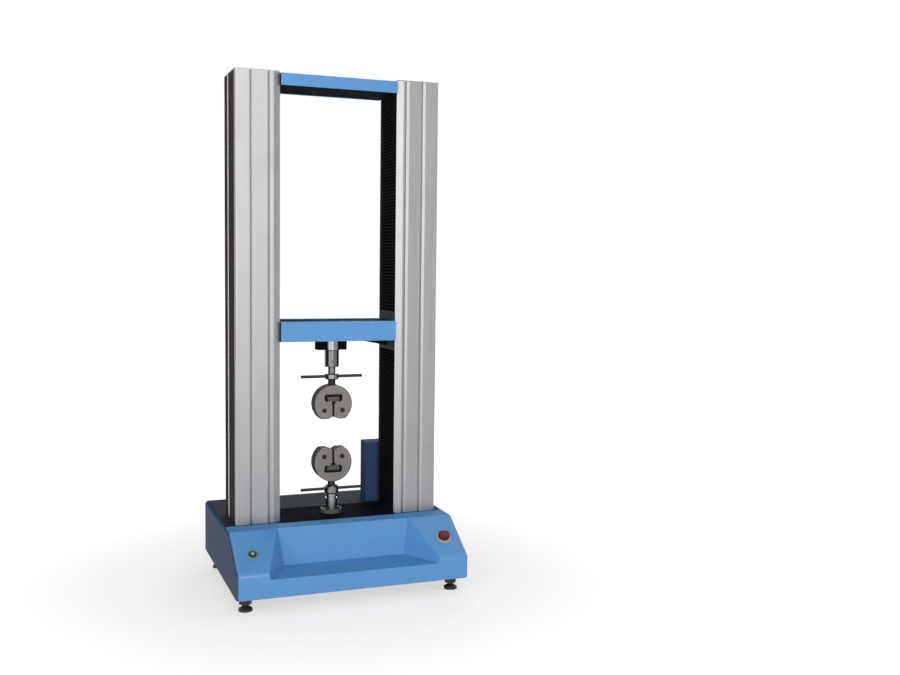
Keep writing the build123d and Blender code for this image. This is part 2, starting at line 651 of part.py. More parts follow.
motor_half = MOTOR_SIZE / 2
motor_plan = (-motor_half, motor_half, MOTOR_Y - motor_half, MOTOR_Y + motor_half)
motor = block(*motor_plan, bracket_top, motor_top)
motor = fillet(motor.edges().filter_by(Axis.Z), MOTOR_CORNER)
motor -= post(MOTOR_SHAFT_RADIUS + RUNNING, 0, MOTOR_Y, bracket_top - SEAM, bracket_top + MOTOR_SHAFT_REACH)
save("servo_motor", motor)
motor_pulley = pulley(MOTOR_PULLEY_RADIUS, MOTOR_SHAFT_RADIUS - 2 * RUNNING, 0, MOTOR_Y)
shaft_end = bracket_top + MOTOR_SHAFT_REACH - SLIDE_GAP
motor_pulley += post(MOTOR_SHAFT_RADIUS, 0, MOTOR_Y, PULLEY_BOTTOM, shaft_end)
save("motor_pulley", motor_pulley)


def belt_ring(grow):
    """The convex outline round the three pulleys, with grow added to each radius."""
    rims = [Pos(x, AXIS_Y) * Circle(SCREW_PULLEY_RADIUS + grow) for x in SCREW_XS]
    rims.append(Pos(0, MOTOR_Y) * Circle(MOTOR_PULLEY_RADIUS + grow))
    return make_hull([edge for rim in rims for edge in rim.edges()])


belt_face = belt_ring(SLIDE_GAP + BELT_THICKNESS) - belt_ring(SLIDE_GAP)
belt = Pos(0, 0, pulley_middle - BELT_WIDTH / 2) * extrude(belt_face, BELT_WIDTH)
save("drive_belt", belt)

drive_back = panel_y0 - DRIVE_GAP
drive_x = DRIVE_INSET - BASE_WIDTH / 2
drive = block(
    drive_x - DRIVE_WIDTH / 2,
    drive_x + DRIVE_WIDTH / 2,
    drive_back - DRIVE_DEPTH,
    drive_back,
    FLOOR_TOP,
    FLOOR_TOP + DRIVE_HEIGHT,
)
save("servo_drive", drive)

# Crosshead beam with its arms, nuts, bushes and covers
arm_reach = COLUMN_CENTRE + ARM_OVERHANG
beam = block(-arm_reach, arm_reach, BEAM_FRONT, BEAM_BACK, BEAM_BOTTOM, BEAM_TOP)
nuts = []
bushes = []
for x in SCREW_XS:
    beam -= post(NUT_RADIUS + RUNNING, x, AXIS_Y, BEAM_BOTTOM - SEAM, BEAM_TOP + SEAM)
    ball_nut = post(NUT_RADIUS, x, AXIS_Y, BEAM_BOTTOM, BEAM_TOP)
    ball_nut += post(NUT_FLANGE_RADIUS, x, AXIS_Y, BEAM_BOTTOM - NUT_FLANGE, BEAM_BOTTOM)
    ball_nut -= post(SCREW_RADIUS + RUNNING, x, AXIS_Y, BEAM_BOTTOM - 2 * NUT_FLANGE, BEAM_TOP + SEAM)
    nuts.append(ball_nut)
    for y in ROD_YS:
        beam -= post(BUSH_RADIUS + RUNNING, x, y, BEAM_BOTTOM - SEAM, BEAM_TOP + SEAM)
        bush = post(BUSH_RADIUS, x, y, BEAM_BOTTOM, BEAM_TOP)
        bush += post(BUSH_FLANGE_RADIUS, x, y, BEAM_TOP, BEAM_TOP + BUSH_FLANGE)
        bush -= post(ROD_RADIUS + RUNNING, x, y, BEAM_BOTTOM - SEAM, BEAM_TOP + 2 * BUSH_FLANGE)
        bushes.append(bush)
save("crosshead_beam", beam)
save("ball_nuts", *nuts)
save("guide_bushes", *bushes)

crosshead_low = CROSSHEAD_MIDDLE - CROSSHEAD_HEIGHT / 2
crosshead_high = CROSSHEAD_MIDDLE + CROSSHEAD_HEIGHT / 2


def channel(y_face, y_open):
    """A sheet channel across the crosshead: its web at y_face, its flanges towards the beam."""
    near, far = min(y_face, y_open), max(y_face, y_open)
    inward = CROSSHEAD_SHEET if y_open > y_face else -CROSSHEAD_SHEET
    web = block(-COVER_HALF, COVER_HALF, near, far, crosshead_low, crosshead_high)
    room = sorted((y_face + inward, y_open + inward))
    low = crosshead_low + CROSSHEAD_SHEET
    high = crosshead_high - CROSSHEAD_SHEET
    web -= block(-COLUMN_INNER, COLUMN_INNER, *room, low, high)
    face_edges = web.edges().filter_by(Axis.X).filter_by(lambda e: abs(e.center().Y - y_face) < SLIDE_GAP)
    return fillet(face_edges, CROSSHEAD_SHEET)


save("crosshead_covers", channel(COVER_FRONT, BEAM_FRONT), channel(COVER_BACK, BEAM_BACK))

# Bellows on the inner face of each column, and the flanges that carry them on the crosshead
bellows_x = COLUMN_INNER + BELLOWS_INSET
bellows_front = PROFILE_BACK + BELLOWS_INSET
bellows_back = COLUMN_BACK - COVER_RETURN - BELLOWS_INSET
flange_top = BEAM_TOP + FLANGE_RISE
flange_bottom = BEAM_BOTTOM - FLANGE_DROP
flange_x = bellows_x + PLEAT_DEPTH + PLEAT_SKIN


def bellows(z0, z1):
    """A pleated sheet between two heights, folded in and out across the column's inner face."""
    pleats = max(2, round((z1 - z0) / PLEAT_PITCH))
    step = (z1 - z0) / (2 * pleats)
    skin = [(bellows_x + PLEAT_DEPTH * (i % 2), z0 + i * step) for i in range(2 * pleats + 1)]
    rear = [(x + PLEAT_SKIN, z) for x, z in reversed(skin)]
    return prism_y(skin + rear, bellows_front, bellows_back)


for place, z0, z1 in (("upper", flange_top, TOP_BEAM_BOTTOM), ("lower", BED_TOP, flange_bottom)):
    folded = bellows(z0, z1)
    save(f"bellows_{place}_right", folded)
    save(f"bellows_{place}_left", mirrored(folded))
flange_span = (bellows_x, flange_x, bellows_front, bellows_back)
flanges = [block(*flange_span, BEAM_TOP, flange_top), block(*flange_span, flange_bottom, BEAM_BOTTOM)]
save("bellows_flanges", *flanges, *[mirrored(flange) for flange in flanges])

# Travel limit rod with its collars in the left column, and the striker on the crosshead
limit_y = BEAM_BACK + STRIKER_REACH - 2 * LIMIT_ROD_RADIUS
striker_low = CROSSHEAD_MIDDLE - STRIKER_THICKNESS / 2
striker_high = CROSSHEAD_MIDDLE + STRIKER_THICKNESS / 2
limit_x = -COLUMN_CENTRE
limit_rod = post(LIMIT_ROD_RADIUS, limit_x, limit_y, BED_TOP, TOP_BEAM_BOTTOM)
lower_stop = striker_low - TRAVEL_DOWN - LIMIT_MARGIN
upper_stop = striker_high + TRAVEL_UP + LIMIT_MARGIN
collars = []
for top in (lower_stop, upper_stop + LIMIT_COLLAR_HEIGHT):
    collar = post(LIMIT_COLLAR_RADIUS, limit_x, limit_y, top - LIMIT_COLLAR_HEIGHT, top)
    collars.append(collar - post(LIMIT_ROD_RADIUS + RUNNING, limit_x, limit_y, BED_TOP, TOP_BEAM_BOTTOM))
save("limit_rod", limit_rod, *collars)
striker = block(
    limit_x - STRIKER_WIDTH / 2,
    limit_x + STRIKER_WIDTH / 2,
    BEAM_BACK,
    BEAM_BACK + STRIKER_REACH,
    striker_low,
    striker_high,
)
striker -= post(LIMIT_ROD_RADIUS + STRIKER_ROD_GAP, limit_x, limit_y, striker_low - SEAM, striker_high + SEAM)
save("limit_striker", striker)

# Load cell in its yoke, and the coupling with its cross pin
socket_top = COUPLING_BOTTOM + COUPLING_SOCKET
pin_z = COUPLING_BOTTOM + COUPLING_SOCKET / 2
load_cell = post(LOAD_CELL_RADIUS, 0, AXIS_Y, CELL_BOTTOM, BEAM_BOTTOM)
load_cell = fillet(load_cell.edges().group_by(Axis.Z)[0], EDGE_BREAK)
save("load_cell", load_cell)
yoke = block(
    -YOKE_WIDTH / 2,
    YOKE_WIDTH / 2,
    AXIS_Y - YOKE_FRONT,
    AXIS_Y + YOKE_BACK,
    BEAM_BOTTOM - YOKE_HEIGHT,
    BEAM_BOTTOM,
)
yoke = fillet(yoke.edges().filter_by(Axis.Z), YOKE_CORNER)
yoke -= post(LOAD_CELL_RADIUS + RUNNING, 0, AXIS_Y, CELL_BOTTOM - SEAM, BEAM_BOTTOM + SEAM)
save("load_cell_yoke", yoke)
coupling = post(COUPLING_RADIUS, 0, AXIS_Y, COUPLING_BOTTOM, CELL_BOTTOM)
coupling = chamfer(coupling.edges().filter_by(GeomType.CIRCLE), EDGE_BREAK)
coupling -= post(STEM_RADIUS + RUNNING, 0, AXIS_Y, COUPLING_BOTTOM - SEAM, socket_top)
pin_reach = COUPLING_RADIUS + COUPLING_PIN_PROUD
coupling -= cross_rod(COUPLING_PIN_RADIUS + RUNNING, AXIS_Y - pin_reach, AXIS_Y + pin_reach, 0, pin_z)
coupling_pin = cross_rod(COUPLING_PIN_RADIUS, AXIS_Y - pin_reach, AXIS_Y + pin_reach, 0, pin_z)
save("upper_coupling", coupling, coupling_pin)


# Grips. Heights in a grip count from the middle of its round body towards the mouth.
def wedge_wall(w):
    """Half-width of the wedge slot at a height."""
    return WEDGE_HALF - (w + WINDOW_BOTTOM) * tan(radians(WEDGE_ANGLE))


def grip(name, middle, mouth_dir, stem_end, hub_height, cross_pin_z):
    """One wedge grip. mouth_dir is -1 where the mouth points down and +1 where it points up."""

    def z_at(w):
        return middle + mouth_dir * w

    def upright(radius, w0, w1):
        z0, z1 = sorted((z_at(w0), z_at(w1)))
        return post(radius, 0, AXIS_Y, z0, z1)

    def slab(points, half_thickness):
        outline = [(x, z_at(w)) for x, w in points]
        return prism_y(outline, AXIS_Y - half_thickness, AXIS_Y + half_thickness)

    half = GRIP_THICKNESS / 2
    far = 2 * GRIP_RADIUS
    rod_top = GRIP_RADIUS + PUSHER_ROD_RISE
    stem_w = -abs(stem_end - middle)
    body = cross_rod(GRIP_RADIUS, AXIS_Y - half, AXIS_Y + half, 0, middle)
    body = chamfer(body.edges().filter_by(GeomType.CIRCLE), EDGE_BREAK)
    body += upright(STEM_RADIUS, -GRIP_RADIUS / 2, stem_w)
    body -= slab([(-far, GRIP_FLAT), (far, GRIP_FLAT), (far, far), (-far, far)], GRIP_THICKNESS)
    notch_w = GRIP_FLAT + GRIP_NOTCH_RADIUS - GRIP_NOTCH_DEPTH
    body -= cross_rod(GRIP_NOTCH_RADIUS, AXIS_Y - far, AXIS_Y + far, 0, z_at(notch_w))
    window = [(-WINDOW_HALF, -WINDOW_TOP), (WINDOW_HALF, -WINDOW_TOP)]
    window += [(WINDOW_HALF, -WINDOW_BOTTOM), (-WINDOW_HALF, -WINDOW_BOTTOM)]
    window_space = slab(window, GRIP_THICKNESS)
    window_space = fillet(window_space.edges().filter_by(Axis.Y), WINDOW_CORNER)
    body -= window_space - slab(window, WEB_HALF)
    pusher_low = JAW_TOP + SLIDE_GAP
    pusher_high = pusher_low + PUSHER_HEIGHT
    guide_half = PUSHER_HALF + WEB_CLEAR
    guide = [(-guide_half, -pusher_high - WEB_CLEAR), (guide_half, -pusher_high - WEB_CLEAR)]
    guide += [(guide_half, -WINDOW_BOTTOM), (-guide_half, -WINDOW_BOTTOM)]
    body -= slab(guide, GRIP_THICKNESS)
    wedge = [(-WEDGE_HALF, -WINDOW_BOTTOM), (WEDGE_HALF, -WINDOW_BOTTOM)]
    wedge += [(wedge_wall(GRIP_RADIUS), GRIP_RADIUS), (-wedge_wall(GRIP_RADIUS), GRIP_RADIUS)]
    mouth_step = [(-WEDGE_HALF, -WINDOW_TOP / 2), (WEDGE_HALF, -WINDOW_TOP / 2)]
    body -= slab(mouth_step + wedge[1::-1], GRIP_THICKNESS)
    body -= slab(wedge, GRIP_THICKNESS)
    body -= upright(PUSHER_ROD_RADIUS + RUNNING, 0, -rod_top - SIDE_CLEARANCE)
    if cross_pin_z is not None:
        body -= cross_rod(COUPLING_PIN_RADIUS + RUNNING, AXIS_Y - far, AXIS_Y + far, 0, cross_pin_z)
    save(f"{name}_grip_body", body)

    pusher = slab(
        [
            (-PUSHER_HALF, -pusher_low),
            (PUSHER_HALF, -pusher_low),
            (PUSHER_HALF, -pusher_high),
            (-PUSHER_HALF, -pusher_high),
        ],
        half - JAW_SIDE_GAP,
    )
    pusher += upright(PUSHER_ROD_RADIUS, -pusher_low - PUSHER_HEIGHT / 2, -rod_top)
    save(f"{name}_pusher", pusher)

    slip = SLIDE_GAP / cos(radians(WEDGE_ANGLE))
    jaw = slab(
        [
            (JAW_GAP / 2 + JAW_NOTCH, -JAW_TOP),
            (wedge_wall(-JAW_TOP) - slip, -JAW_TOP),
            (wedge_wall(JAW_END) - slip, JAW_END),
            (JAW_GAP / 2, JAW_END),
            (JAW_GAP / 2, -JAW_TOP + JAW_NOTCH_DROP),
        ],
        half - JAW_SIDE_GAP,
    )
    save(f"{name}_jaw_right", jaw)
    save(f"{name}_jaw_left", mirrored(jaw))

    hub_z = z_at(-GRIP_RADIUS - HANDLE_CLEAR)
    hub = post(HUB_RADIUS, 0, AXIS_Y, hub_z - hub_height / 2, hub_z + hub_height / 2)
    hub_cone = (hub_height - 2 * HANDLE_BAR_RADIUS) / 2 - HUB_LAND
    grip_end, far_end = (-1, 0) if mouth_dir > 0 else (0, -1)
    hub = chamfer(hub.edges().filter_by(GeomType.CIRCLE).sort_by(Axis.Z)[grip_end], hub_cone)
    hub = chamfer(hub.edges().filter_by(GeomType.CIRCLE).sort_by(Axis.Z)[far_end], HUB_CHAMFER)
    hub -= post(STEM_RADIUS + RUNNING, 0, AXIS_Y, hub_z - hub_height, hub_z + hub_height)
    bar_start = HUB_RADIUS - HANDLE_SOCKET
    bars = []
    for side in (-1, 1):
        x0, x1 = sorted((side * bar_start, side * HANDLE_REACH))
        hub -= side_rod(HANDLE_BAR_RADIUS + RUNNING, x0, x1, AXIS_Y, hub_z)
        bar = side_rod(HANDLE_BAR_RADIUS, x0, x1, AXIS_Y, hub_z)
        bars.append(chamfer(bar.edges().filter_by(GeomType.CIRCLE), SEAM))
    save(f"{name}_handle", hub, *bars)


adaptor_foot = NECK_TOP - ADAPTOR_SOCKET
grip("upper", UPPER_GRIP_Z, -1, socket_top - SLIDE_GAP, UPPER_HUB_HEIGHT, pin_z)
grip("lower", LOWER_GRIP_Z, 1, adaptor_foot + SLIDE_GAP, LOWER_HUB_HEIGHT, None)

# Adaptor that carries the lower grip on the bed plate
flange_level = BED_TOP + ADAPTOR_FLANGE
adaptor = post(ADAPTOR_FLANGE_RADIUS, 0, AXIS_Y, BED_TOP, flange_level)
adaptor += post(ADAPTOR_NECK_RADIUS, 0, AXIS_Y, flange_level, NECK_TOP)
adaptor -= post(STEM_RADIUS + RUNNING, 0, AXIS_Y, adaptor_foot, NECK_TOP + SEAM)
groove_high = NECK_TOP - NECK_GROOVE_DROP
groove_low = groove_high - NECK_GROOVE_WIDTH
neck_groove = post(ADAPTOR_NECK_RADIUS + SEAM, 0, AXIS_Y, groove_low, groove_high)
neck_core = post(ADAPTOR_NECK_RADIUS - NECK_GROOVE_DEPTH, 0, AXIS_Y, groove_low, groove_high)
adaptor -= neck_groove - neck_core
bolts = []
for quarter in range(4):
    turn = pi / 4 + quarter * pi / 2
    x = ADAPTOR_BOLT_CIRCLE * cos(turn)
    y = AXIS_Y + ADAPTOR_BOLT_CIRCLE * sin(turn)
    adaptor -= post(BOLT_SHANK_RADIUS + RUNNING, x, y, BED_TOP - SEAM, flange_level + SEAM)
    head_top = flange_level + BOLT_HEAD_HEIGHT
    bolt = post(BOLT_HEAD_RADIUS, x, y, flange_level, head_top)
    bolt -= post(BOLT_SHANK_RADIUS, x, y, head_top - BOLT_HEAD_HEIGHT / 2, head_top + SEAM)
    bolts.append(bolt + post(BOLT_SHANK_RADIUS, x, y, BED_TOP, flange_level))
save("lower_adaptor", adaptor)
save("lower_adaptor_bolts", *bolts)


# Buttons, built on the slope with Z square to it
def ring(radius, bore, z0, z1):
    return post(radius, 0, 0, z0, z1) - post(bore, 0, 0, z0 - SEAM, z1 + SEAM)


green_place = slope_place(-BUTTON_X, BUTTON_ALONG)
stop_place = slope_place(BUTTON_X, BUTTON_ALONG)
plunger_bore = PLUNGER_RADIUS + SLIDE_GAP
bezel = ring(BEZEL_RADIUS, plunger_bore, 0, BEZEL_HEIGHT)
bezel = chamfer(bezel.edges().filter_by(GeomType.CIRCLE).group_by(Axis.Z)[-1], SEAM)
bezel += ring(BARREL_RADIUS, plunger_bore, -BARREL_LENGTH, 0)
save("start_button_bezel", green_place * bezel)
plunger_top = BEZEL_HEIGHT + PLUNGER_PROUD
plunger = post(PLUNGER_RADIUS, 0, 0, -PLUNGER_CAP_DEPTH, plunger_top)
plunger = fillet(plunger.edges().group_by(Axis.Z)[-1], SEAM)
plunger += post(PLUNGER_RADIUS / 2, 0, 0, -STEM_DEPTH, -PLUNGER_CAP_DEPTH)
save("start_button_plunger", green_place * plunger)

stem_bore = STOP_STEM_RADIUS + SLIDE_GAP
collar = ring(STOP_COLLAR_RADIUS, stem_bore, 0, STOP_COLLAR_HEIGHT)
collar += ring(BARREL_RADIUS, stem_bore, -BARREL_LENGTH, 0)
save("estop_collar", stop_place * collar)
head_base = STOP_COLLAR_HEIGHT + STOP_HEAD_GAP
head_top = head_base + STOP_HEAD_HEIGHT
spigot_top = head_base + STOP_HEAD_HEIGHT / 2
stem = post(STOP_STEM_RADIUS, 0, 0, -STEM_DEPTH, head_base)
stem += post(STOP_SPIGOT_RADIUS, 0, 0, head_base, spigot_top)
save("estop_stem", stop_place * stem)
head = post(STOP_HEAD_RADIUS, 0, 0, head_base + SLIDE_GAP, head_top)
head = fillet(head.edges().group_by(Axis.Z)[-1], STOP_HEAD_HEIGHT / 2)
head -= post(STOP_SPIGOT_RADIUS + RUNNING, 0, 0, head_base, spigot_top + SLIDE_GAP)
save("estop_head", stop_place * head)
block_end = -BARREL_LENGTH - CONTACT_BLOCK_LENGTH
half_block = CONTACT_BLOCK / 2
contact = block(-half_block, half_block, -half_block, half_block, block_end, -BARREL_LENGTH)
save("button_contact_blocks", green_place * contact, stop_place * contact)

# Control cabinet on the rear deck
cab_x1 = BASE_WIDTH / 2 - CABINET_EDGE
cab_x0 = cab_x1 - CABINET_WIDTH
cab_y0 = COLUMN_BACK + CABINET_GAP
cab_y1 = cab_y0 + CABINET_DEPTH
cab_z0 = DECK_HEIGHT
cab_z1 = DECK_HEIGHT + CABINET_HEIGHT
hinge_x = cab_x1 + KNUCKLE_RADIUS
door_y0 = cab_y1 + SLIDE_GAP
door_y1 = door_y0 + DOOR_THICKNESS
hinge_y = (door_y0 + door_y1) / 2
cabinet = block(cab_x0, cab_x1, cab_y0, cab_y1, cab_z0, cab_z1)
front_rounds = cabinet.edges().filter_by(Axis.Z).group_by(Axis.Y)[0]
cabinet = fillet(front_rounds, CABINET_CORNER)
cabinet -= block(
    cab_x0 + CABINET_SHEET,
    cab_x1 - CABINET_SHEET,
    cab_y0 + CABINET_SHEET,
    cab_y1 - CABINET_SHEET,
    cab_z0 + CABINET_SHEET,
    cab_z1 - CABINET_SHEET,
)
cabinet -= block(
    cab_x0 + CABINET_RIM,
    cab_x1 - CABINET_RIM,
    cab_y1 - 2 * CABINET_SHEET,
    cab_y1 + CABINET_SHEET,
    cab_z0 + CABINET_RIM,
    cab_z1 - CABINET_RIM,
)
door = block(
    cab_x0 + DOOR_MARGIN, cab_x1 - SEAM, door_y0, door_y1, cab_z0 + DOOR_MARGIN, cab_z1 - DOOR_MARGIN
)
hinge_levels = (cab_z0 + HINGE_INSET, cab_z1 - HINGE_INSET)
for z in hinge_levels:
    cabinet += post(KNUCKLE_RADIUS, hinge_x, hinge_y, z - KNUCKLE_LENGTH, z)
    leaf = (cab_y1 - CABINET_SHEET, hinge_y, z - KNUCKLE_LENGTH, z)
    cabinet += block(cab_x1 - CABINET_SHEET, hinge_x, *leaf)
    cabinet -= block(cab_x0, cab_x1 - SEAM / 2, cab_y1, hinge_y + KNUCKLE_RADIUS, z - KNUCKLE_LENGTH, z)
    cabinet += post(HINGE_PIN_RADIUS, hinge_x, hinge_y, z, z + KNUCKLE_LENGTH)
    knuckle_z0 = z + SLIDE_GAP
    knuckle_z1 = z + KNUCKLE_LENGTH
    door += post(KNUCKLE_RADIUS, hinge_x, hinge_y, knuckle_z0, knuckle_z1)
    door += block(cab_x1 - 2 * SEAM, hinge_x, door_y0, door_y1, knuckle_z0, knuckle_z1)
    door -= post(HINGE_PIN_RADIUS + RUNNING, hinge_x, hinge_y, knuckle_z0 - SEAM, knuckle_z1 + SEAM)
latch_x = cab_x0 + LATCH_INSET
latch_z = (cab_z0 + cab_z1) / 2
door -= cross_rod(LATCH_SHAFT_RADIUS + RUNNING, door_y0 - SEAM, door_y1 + SEAM, latch_x, latch_z)
save("cabinet_body", cabinet)
save("cabinet_door", door)
knob_y = door_y1 + SLIDE_GAP
tongue_y = cab_y1 - 2 * CABINET_SHEET - SEAM
latch = cross_rod(LATCH_KNOB_RADIUS, knob_y, knob_y + LATCH_KNOB_HEIGHT, latch_x, latch_z)
latch += cross_rod(LATCH_SHAFT_RADIUS, tongue_y, knob_y, latch_x, latch_z)
tongue_half = LATCH_TONGUE_WIDTH / 2
tongue = (tongue_y - LATCH_TONGUE_THICKNESS, tongue_y, latch_z - tongue_half, latch_z + LATCH_TONGUE)
latch += block(latch_x - tongue_half, latch_x + tongue_half, *tongue)
save("cabinet_latch", latch)
module_front = cab_y0 + CABINET_SHEET
module = block(
    cab_x0 + MODULE_MARGIN,
    cab_x1 - MODULE_MARGIN,
    module_front,
    module_front + MODULE_DEPTH,
    cab_z0 + MODULE_MARGIN,
    cab_z1 - MODULE_MARGIN,
)
save("control_module", module)
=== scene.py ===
import json
from math import cos, pi, radians, sin

import bmesh
import bpy
from mathutils import Matrix, Vector


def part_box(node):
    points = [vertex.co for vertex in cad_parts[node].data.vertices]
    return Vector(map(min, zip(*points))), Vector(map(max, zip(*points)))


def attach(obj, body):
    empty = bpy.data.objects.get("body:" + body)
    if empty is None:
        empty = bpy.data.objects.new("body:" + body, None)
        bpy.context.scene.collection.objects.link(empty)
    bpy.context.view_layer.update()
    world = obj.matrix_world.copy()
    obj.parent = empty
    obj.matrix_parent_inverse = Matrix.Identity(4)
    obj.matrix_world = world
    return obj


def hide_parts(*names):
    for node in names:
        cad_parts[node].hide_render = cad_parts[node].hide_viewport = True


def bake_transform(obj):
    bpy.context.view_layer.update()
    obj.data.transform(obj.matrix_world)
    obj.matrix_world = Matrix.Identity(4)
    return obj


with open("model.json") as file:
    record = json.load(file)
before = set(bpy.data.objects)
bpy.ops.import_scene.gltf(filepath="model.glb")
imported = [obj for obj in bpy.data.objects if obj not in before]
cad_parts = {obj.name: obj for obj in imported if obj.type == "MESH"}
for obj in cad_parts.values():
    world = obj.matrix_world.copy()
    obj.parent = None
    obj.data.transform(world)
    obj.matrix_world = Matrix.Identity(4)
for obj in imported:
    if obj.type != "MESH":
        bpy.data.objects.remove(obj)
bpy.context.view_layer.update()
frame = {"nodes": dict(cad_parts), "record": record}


def middle_of(node):
    low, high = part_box(node)
    return (low + high) / 2


# Lengths are metres in the part's own frame: +Z up, the front faces -Y.
MM = 0.001
SIDES = ("left", "right")
FORWARD = (0, -1, 0)
BACKWARD = (0, 1, 0)
UPWARD = (0, 0, 1)

# Camera: angles in radians, for a picture 900 pixels wide
CAMERA_PLACE = Vector((-1.1161, -4.1022, 1.2948))
CAMERA_YAW = -0.37687
CAMERA_PITCH = -0.07311
CAMERA_ROLL = 0.01219
FOCAL_PIXELS = 1056.49
PICTURE_WIDTH = 900
SENSOR_WIDTH = 36.0

# Bellows
PLEAT_PITCH = 13 * MM
PLEAT_STEPS = 8
PLEAT_SKIN = 1.4 * MM
PLEAT_SHARPNESS = 0.7
PLEAT_END_FOLD = 12 * MM
PLEAT_END_DROP = 6 * MM
BELLOWS_STATIONS = (0.0, 0.03, 0.065, 0.3, 0.5, 0.7, 0.935, 0.97, 1.0)

# Seam strips, made bright as a painted highlight, and the black wedge under the crosshead
SEAM_HIGHLIGHT_Y = 45 * MM
SEAM_HIGHLIGHT_WIDTH = 13 * MM
SEAM_HIGHLIGHT_PROUD = 1.5 * MM
SEAM_HIGHLIGHT_FULLNESS = 0.6
SEAM_HIGHLIGHT_END = 1 * MM
SEAM_HIGHLIGHT_ARC = 8
WEDGE_Y = 30 * MM
WEDGE_SHEET = 8 * MM
WEDGE_LENGTH = 100 * MM
WEDGE_LAP = 0.5 * MM
WEDGE_DROP = 31 * MM
WEDGE_TIP_DROP = 12 * MM
WEDGE_EDGE = 0.8 * MM

# Screws: the head's rings are shares of its radius and height
SCREW_SEGMENTS = 24
SCREW_RINGS = ((1.0, 0.0), (1.0, 0.45), (0.93, 0.78), (0.8, 1.0))
SOCKET_REACH = 0.52
SOCKET_TAPER = 0.96
SOCKET_FLOOR = 0.25
GRIP_SCREW_X = 37 * MM
GRIP_SCREW_PAST_JAW = 35 * MM
GRIP_SCREW_RADIUS = 9.5 * MM
GRIP_SCREW_HEIGHT = 2.2 * MM
PANEL_SCREW_RADIUS = 4.5 * MM
PANEL_SCREW_HEIGHT = 2.4 * MM
PANEL_SCREW_INSET = 14 * MM
PANEL_SCREW_INNER = 0.42
COLUMN_SCREW_ROWS = 7
COLUMN_SCREW_END = 60 * MM
INLET_SCREW_RADIUS = 2.6 * MM
INLET_SCREW_HEIGHT = 1.4 * MM
INLET_SCREW_INSET = 5 * MM
BEAM_SCREW_INSET = 40 * MM

# Louvre hoods
LOUVRE_LENGTH = 110 * MM
LOUVRE_PITCH = 14 * MM
LOUVRE_ROWS = 7
LOUVRE_OFFSET = 260 * MM
HOOD_RISE = 7 * MM
HOOD_END_RISE = 0.4
HOOD_REACH = 4.2 * MM
HOOD_SKIN = 0.8 * MM
HOOD_FULLNESS = 6
HOOD_ARC = 6
HOOD_ENDS = 8

# Floor and lights: a softbox is its place, its width and height, and its power in watts
FLOOR_HALF = 40.0
FLOOR_SHADOW_REACH = 0.6
FLOOR_WHITE_FROM = 2.2
FLOOR_NEAR_GLOW = 0.62
FLOOR_BOUNCE = (0.4, 0.4, 0.4, 1)
SOFT_LIGHT = (0.95, 0.97, 1.0, 1)
SOFT_STRENGTH = 0.25
WHITE = (1, 1, 1, 1)
LIT_POINT = (0, 0, 0.9)
SOFTBOXES = {
    "key": ((-0.7, -5.6, 2.6), (3.2, 5.0), 170),
    "left": ((-4.2, -4.4, 2.2), (2.6, 4.4), 110),
    "right fill": ((5.2, -0.6, 2.4), (2.2, 2.2), 30),
    "top": ((0.2, -0.4, 5.2), (2.2, 2.2), 12),
    "rear": ((1.8, 4.6, 2.6), (2.4, 2.4), 70),
}

# Places that the finishes, the painted shade and the painted highlights follow
LOAD_AXIS = middle_of("lower_adaptor")
CASING_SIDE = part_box("base_casing")[1].x
CORNER_SHADE_FROM = 9 * MM
CORNER_SHADE_FULL = 4 * MM
FACE_DEPTH = 1.2 * MM
DECK_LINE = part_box("column_front_left")[0].y
GRIP_FACE = 28 * MM
ADAPTOR_NECK_RADIUS = 24 * MM
HUB_RADIUS = 29 * MM
HUB_LEVELS = [middle_of(node).z for node in ("lower_handle", "upper_handle")]
HUBS_MIDDLE = sum(HUB_LEVELS) / 2
HUB_DISTANCE = (HUB_LEVELS[1] - HUB_LEVELS[0]) / 2
BUTTON_AXIS = Vector((0, -118, 188)).normalized()
BUTTON_PLACE = Vector((-377, -285.3, 203.2)) * MM
STOP_PLACE = middle_of("estop_head")
LENS_REACH = 13 * MM
BEZEL_REACH = 20 * MM
STOP_REACH = 25 * MM

# Colours, and the noise of the finishes: brush lines are counted per metre and stretched
BLUE = (0.096, 0.285, 0.59)
# SLATE, DARK_SLATE and NAVY are painted shade on the casing's blue. SLATE is also the own paint of the rear
# panel and its hoods.
SLATE = (0.09, 0.108, 0.17)
DARK_SLATE = (0.014, 0.018, 0.035)
NAVY = (0.018, 0.06, 0.18)
DEEP_GREEN = (0.004, 0.035, 0.03)
DUST_GREY = (0.3, 0.3, 0.3)
VERTICAL_LINES = (1, 1, 0.012)
HORIZONTAL_LINES = (0.02, 0.02, 1)
GROUND_LINES = (1, 1, 0.03)
GROUND_TURN = (0, radians(38), 0)
BRUSH_LINES = 260
BROAD_LINES = BRUSH_LINES / 9
NOISE_LOW = 0.3
NOISE_HIGH = 0.7
BEVEL_SAMPLES = 4

# Sockets of a Mix node in its colour mode
MIX_FIRST = 6
MIX_SECOND = 7
MIX_RESULT = 2


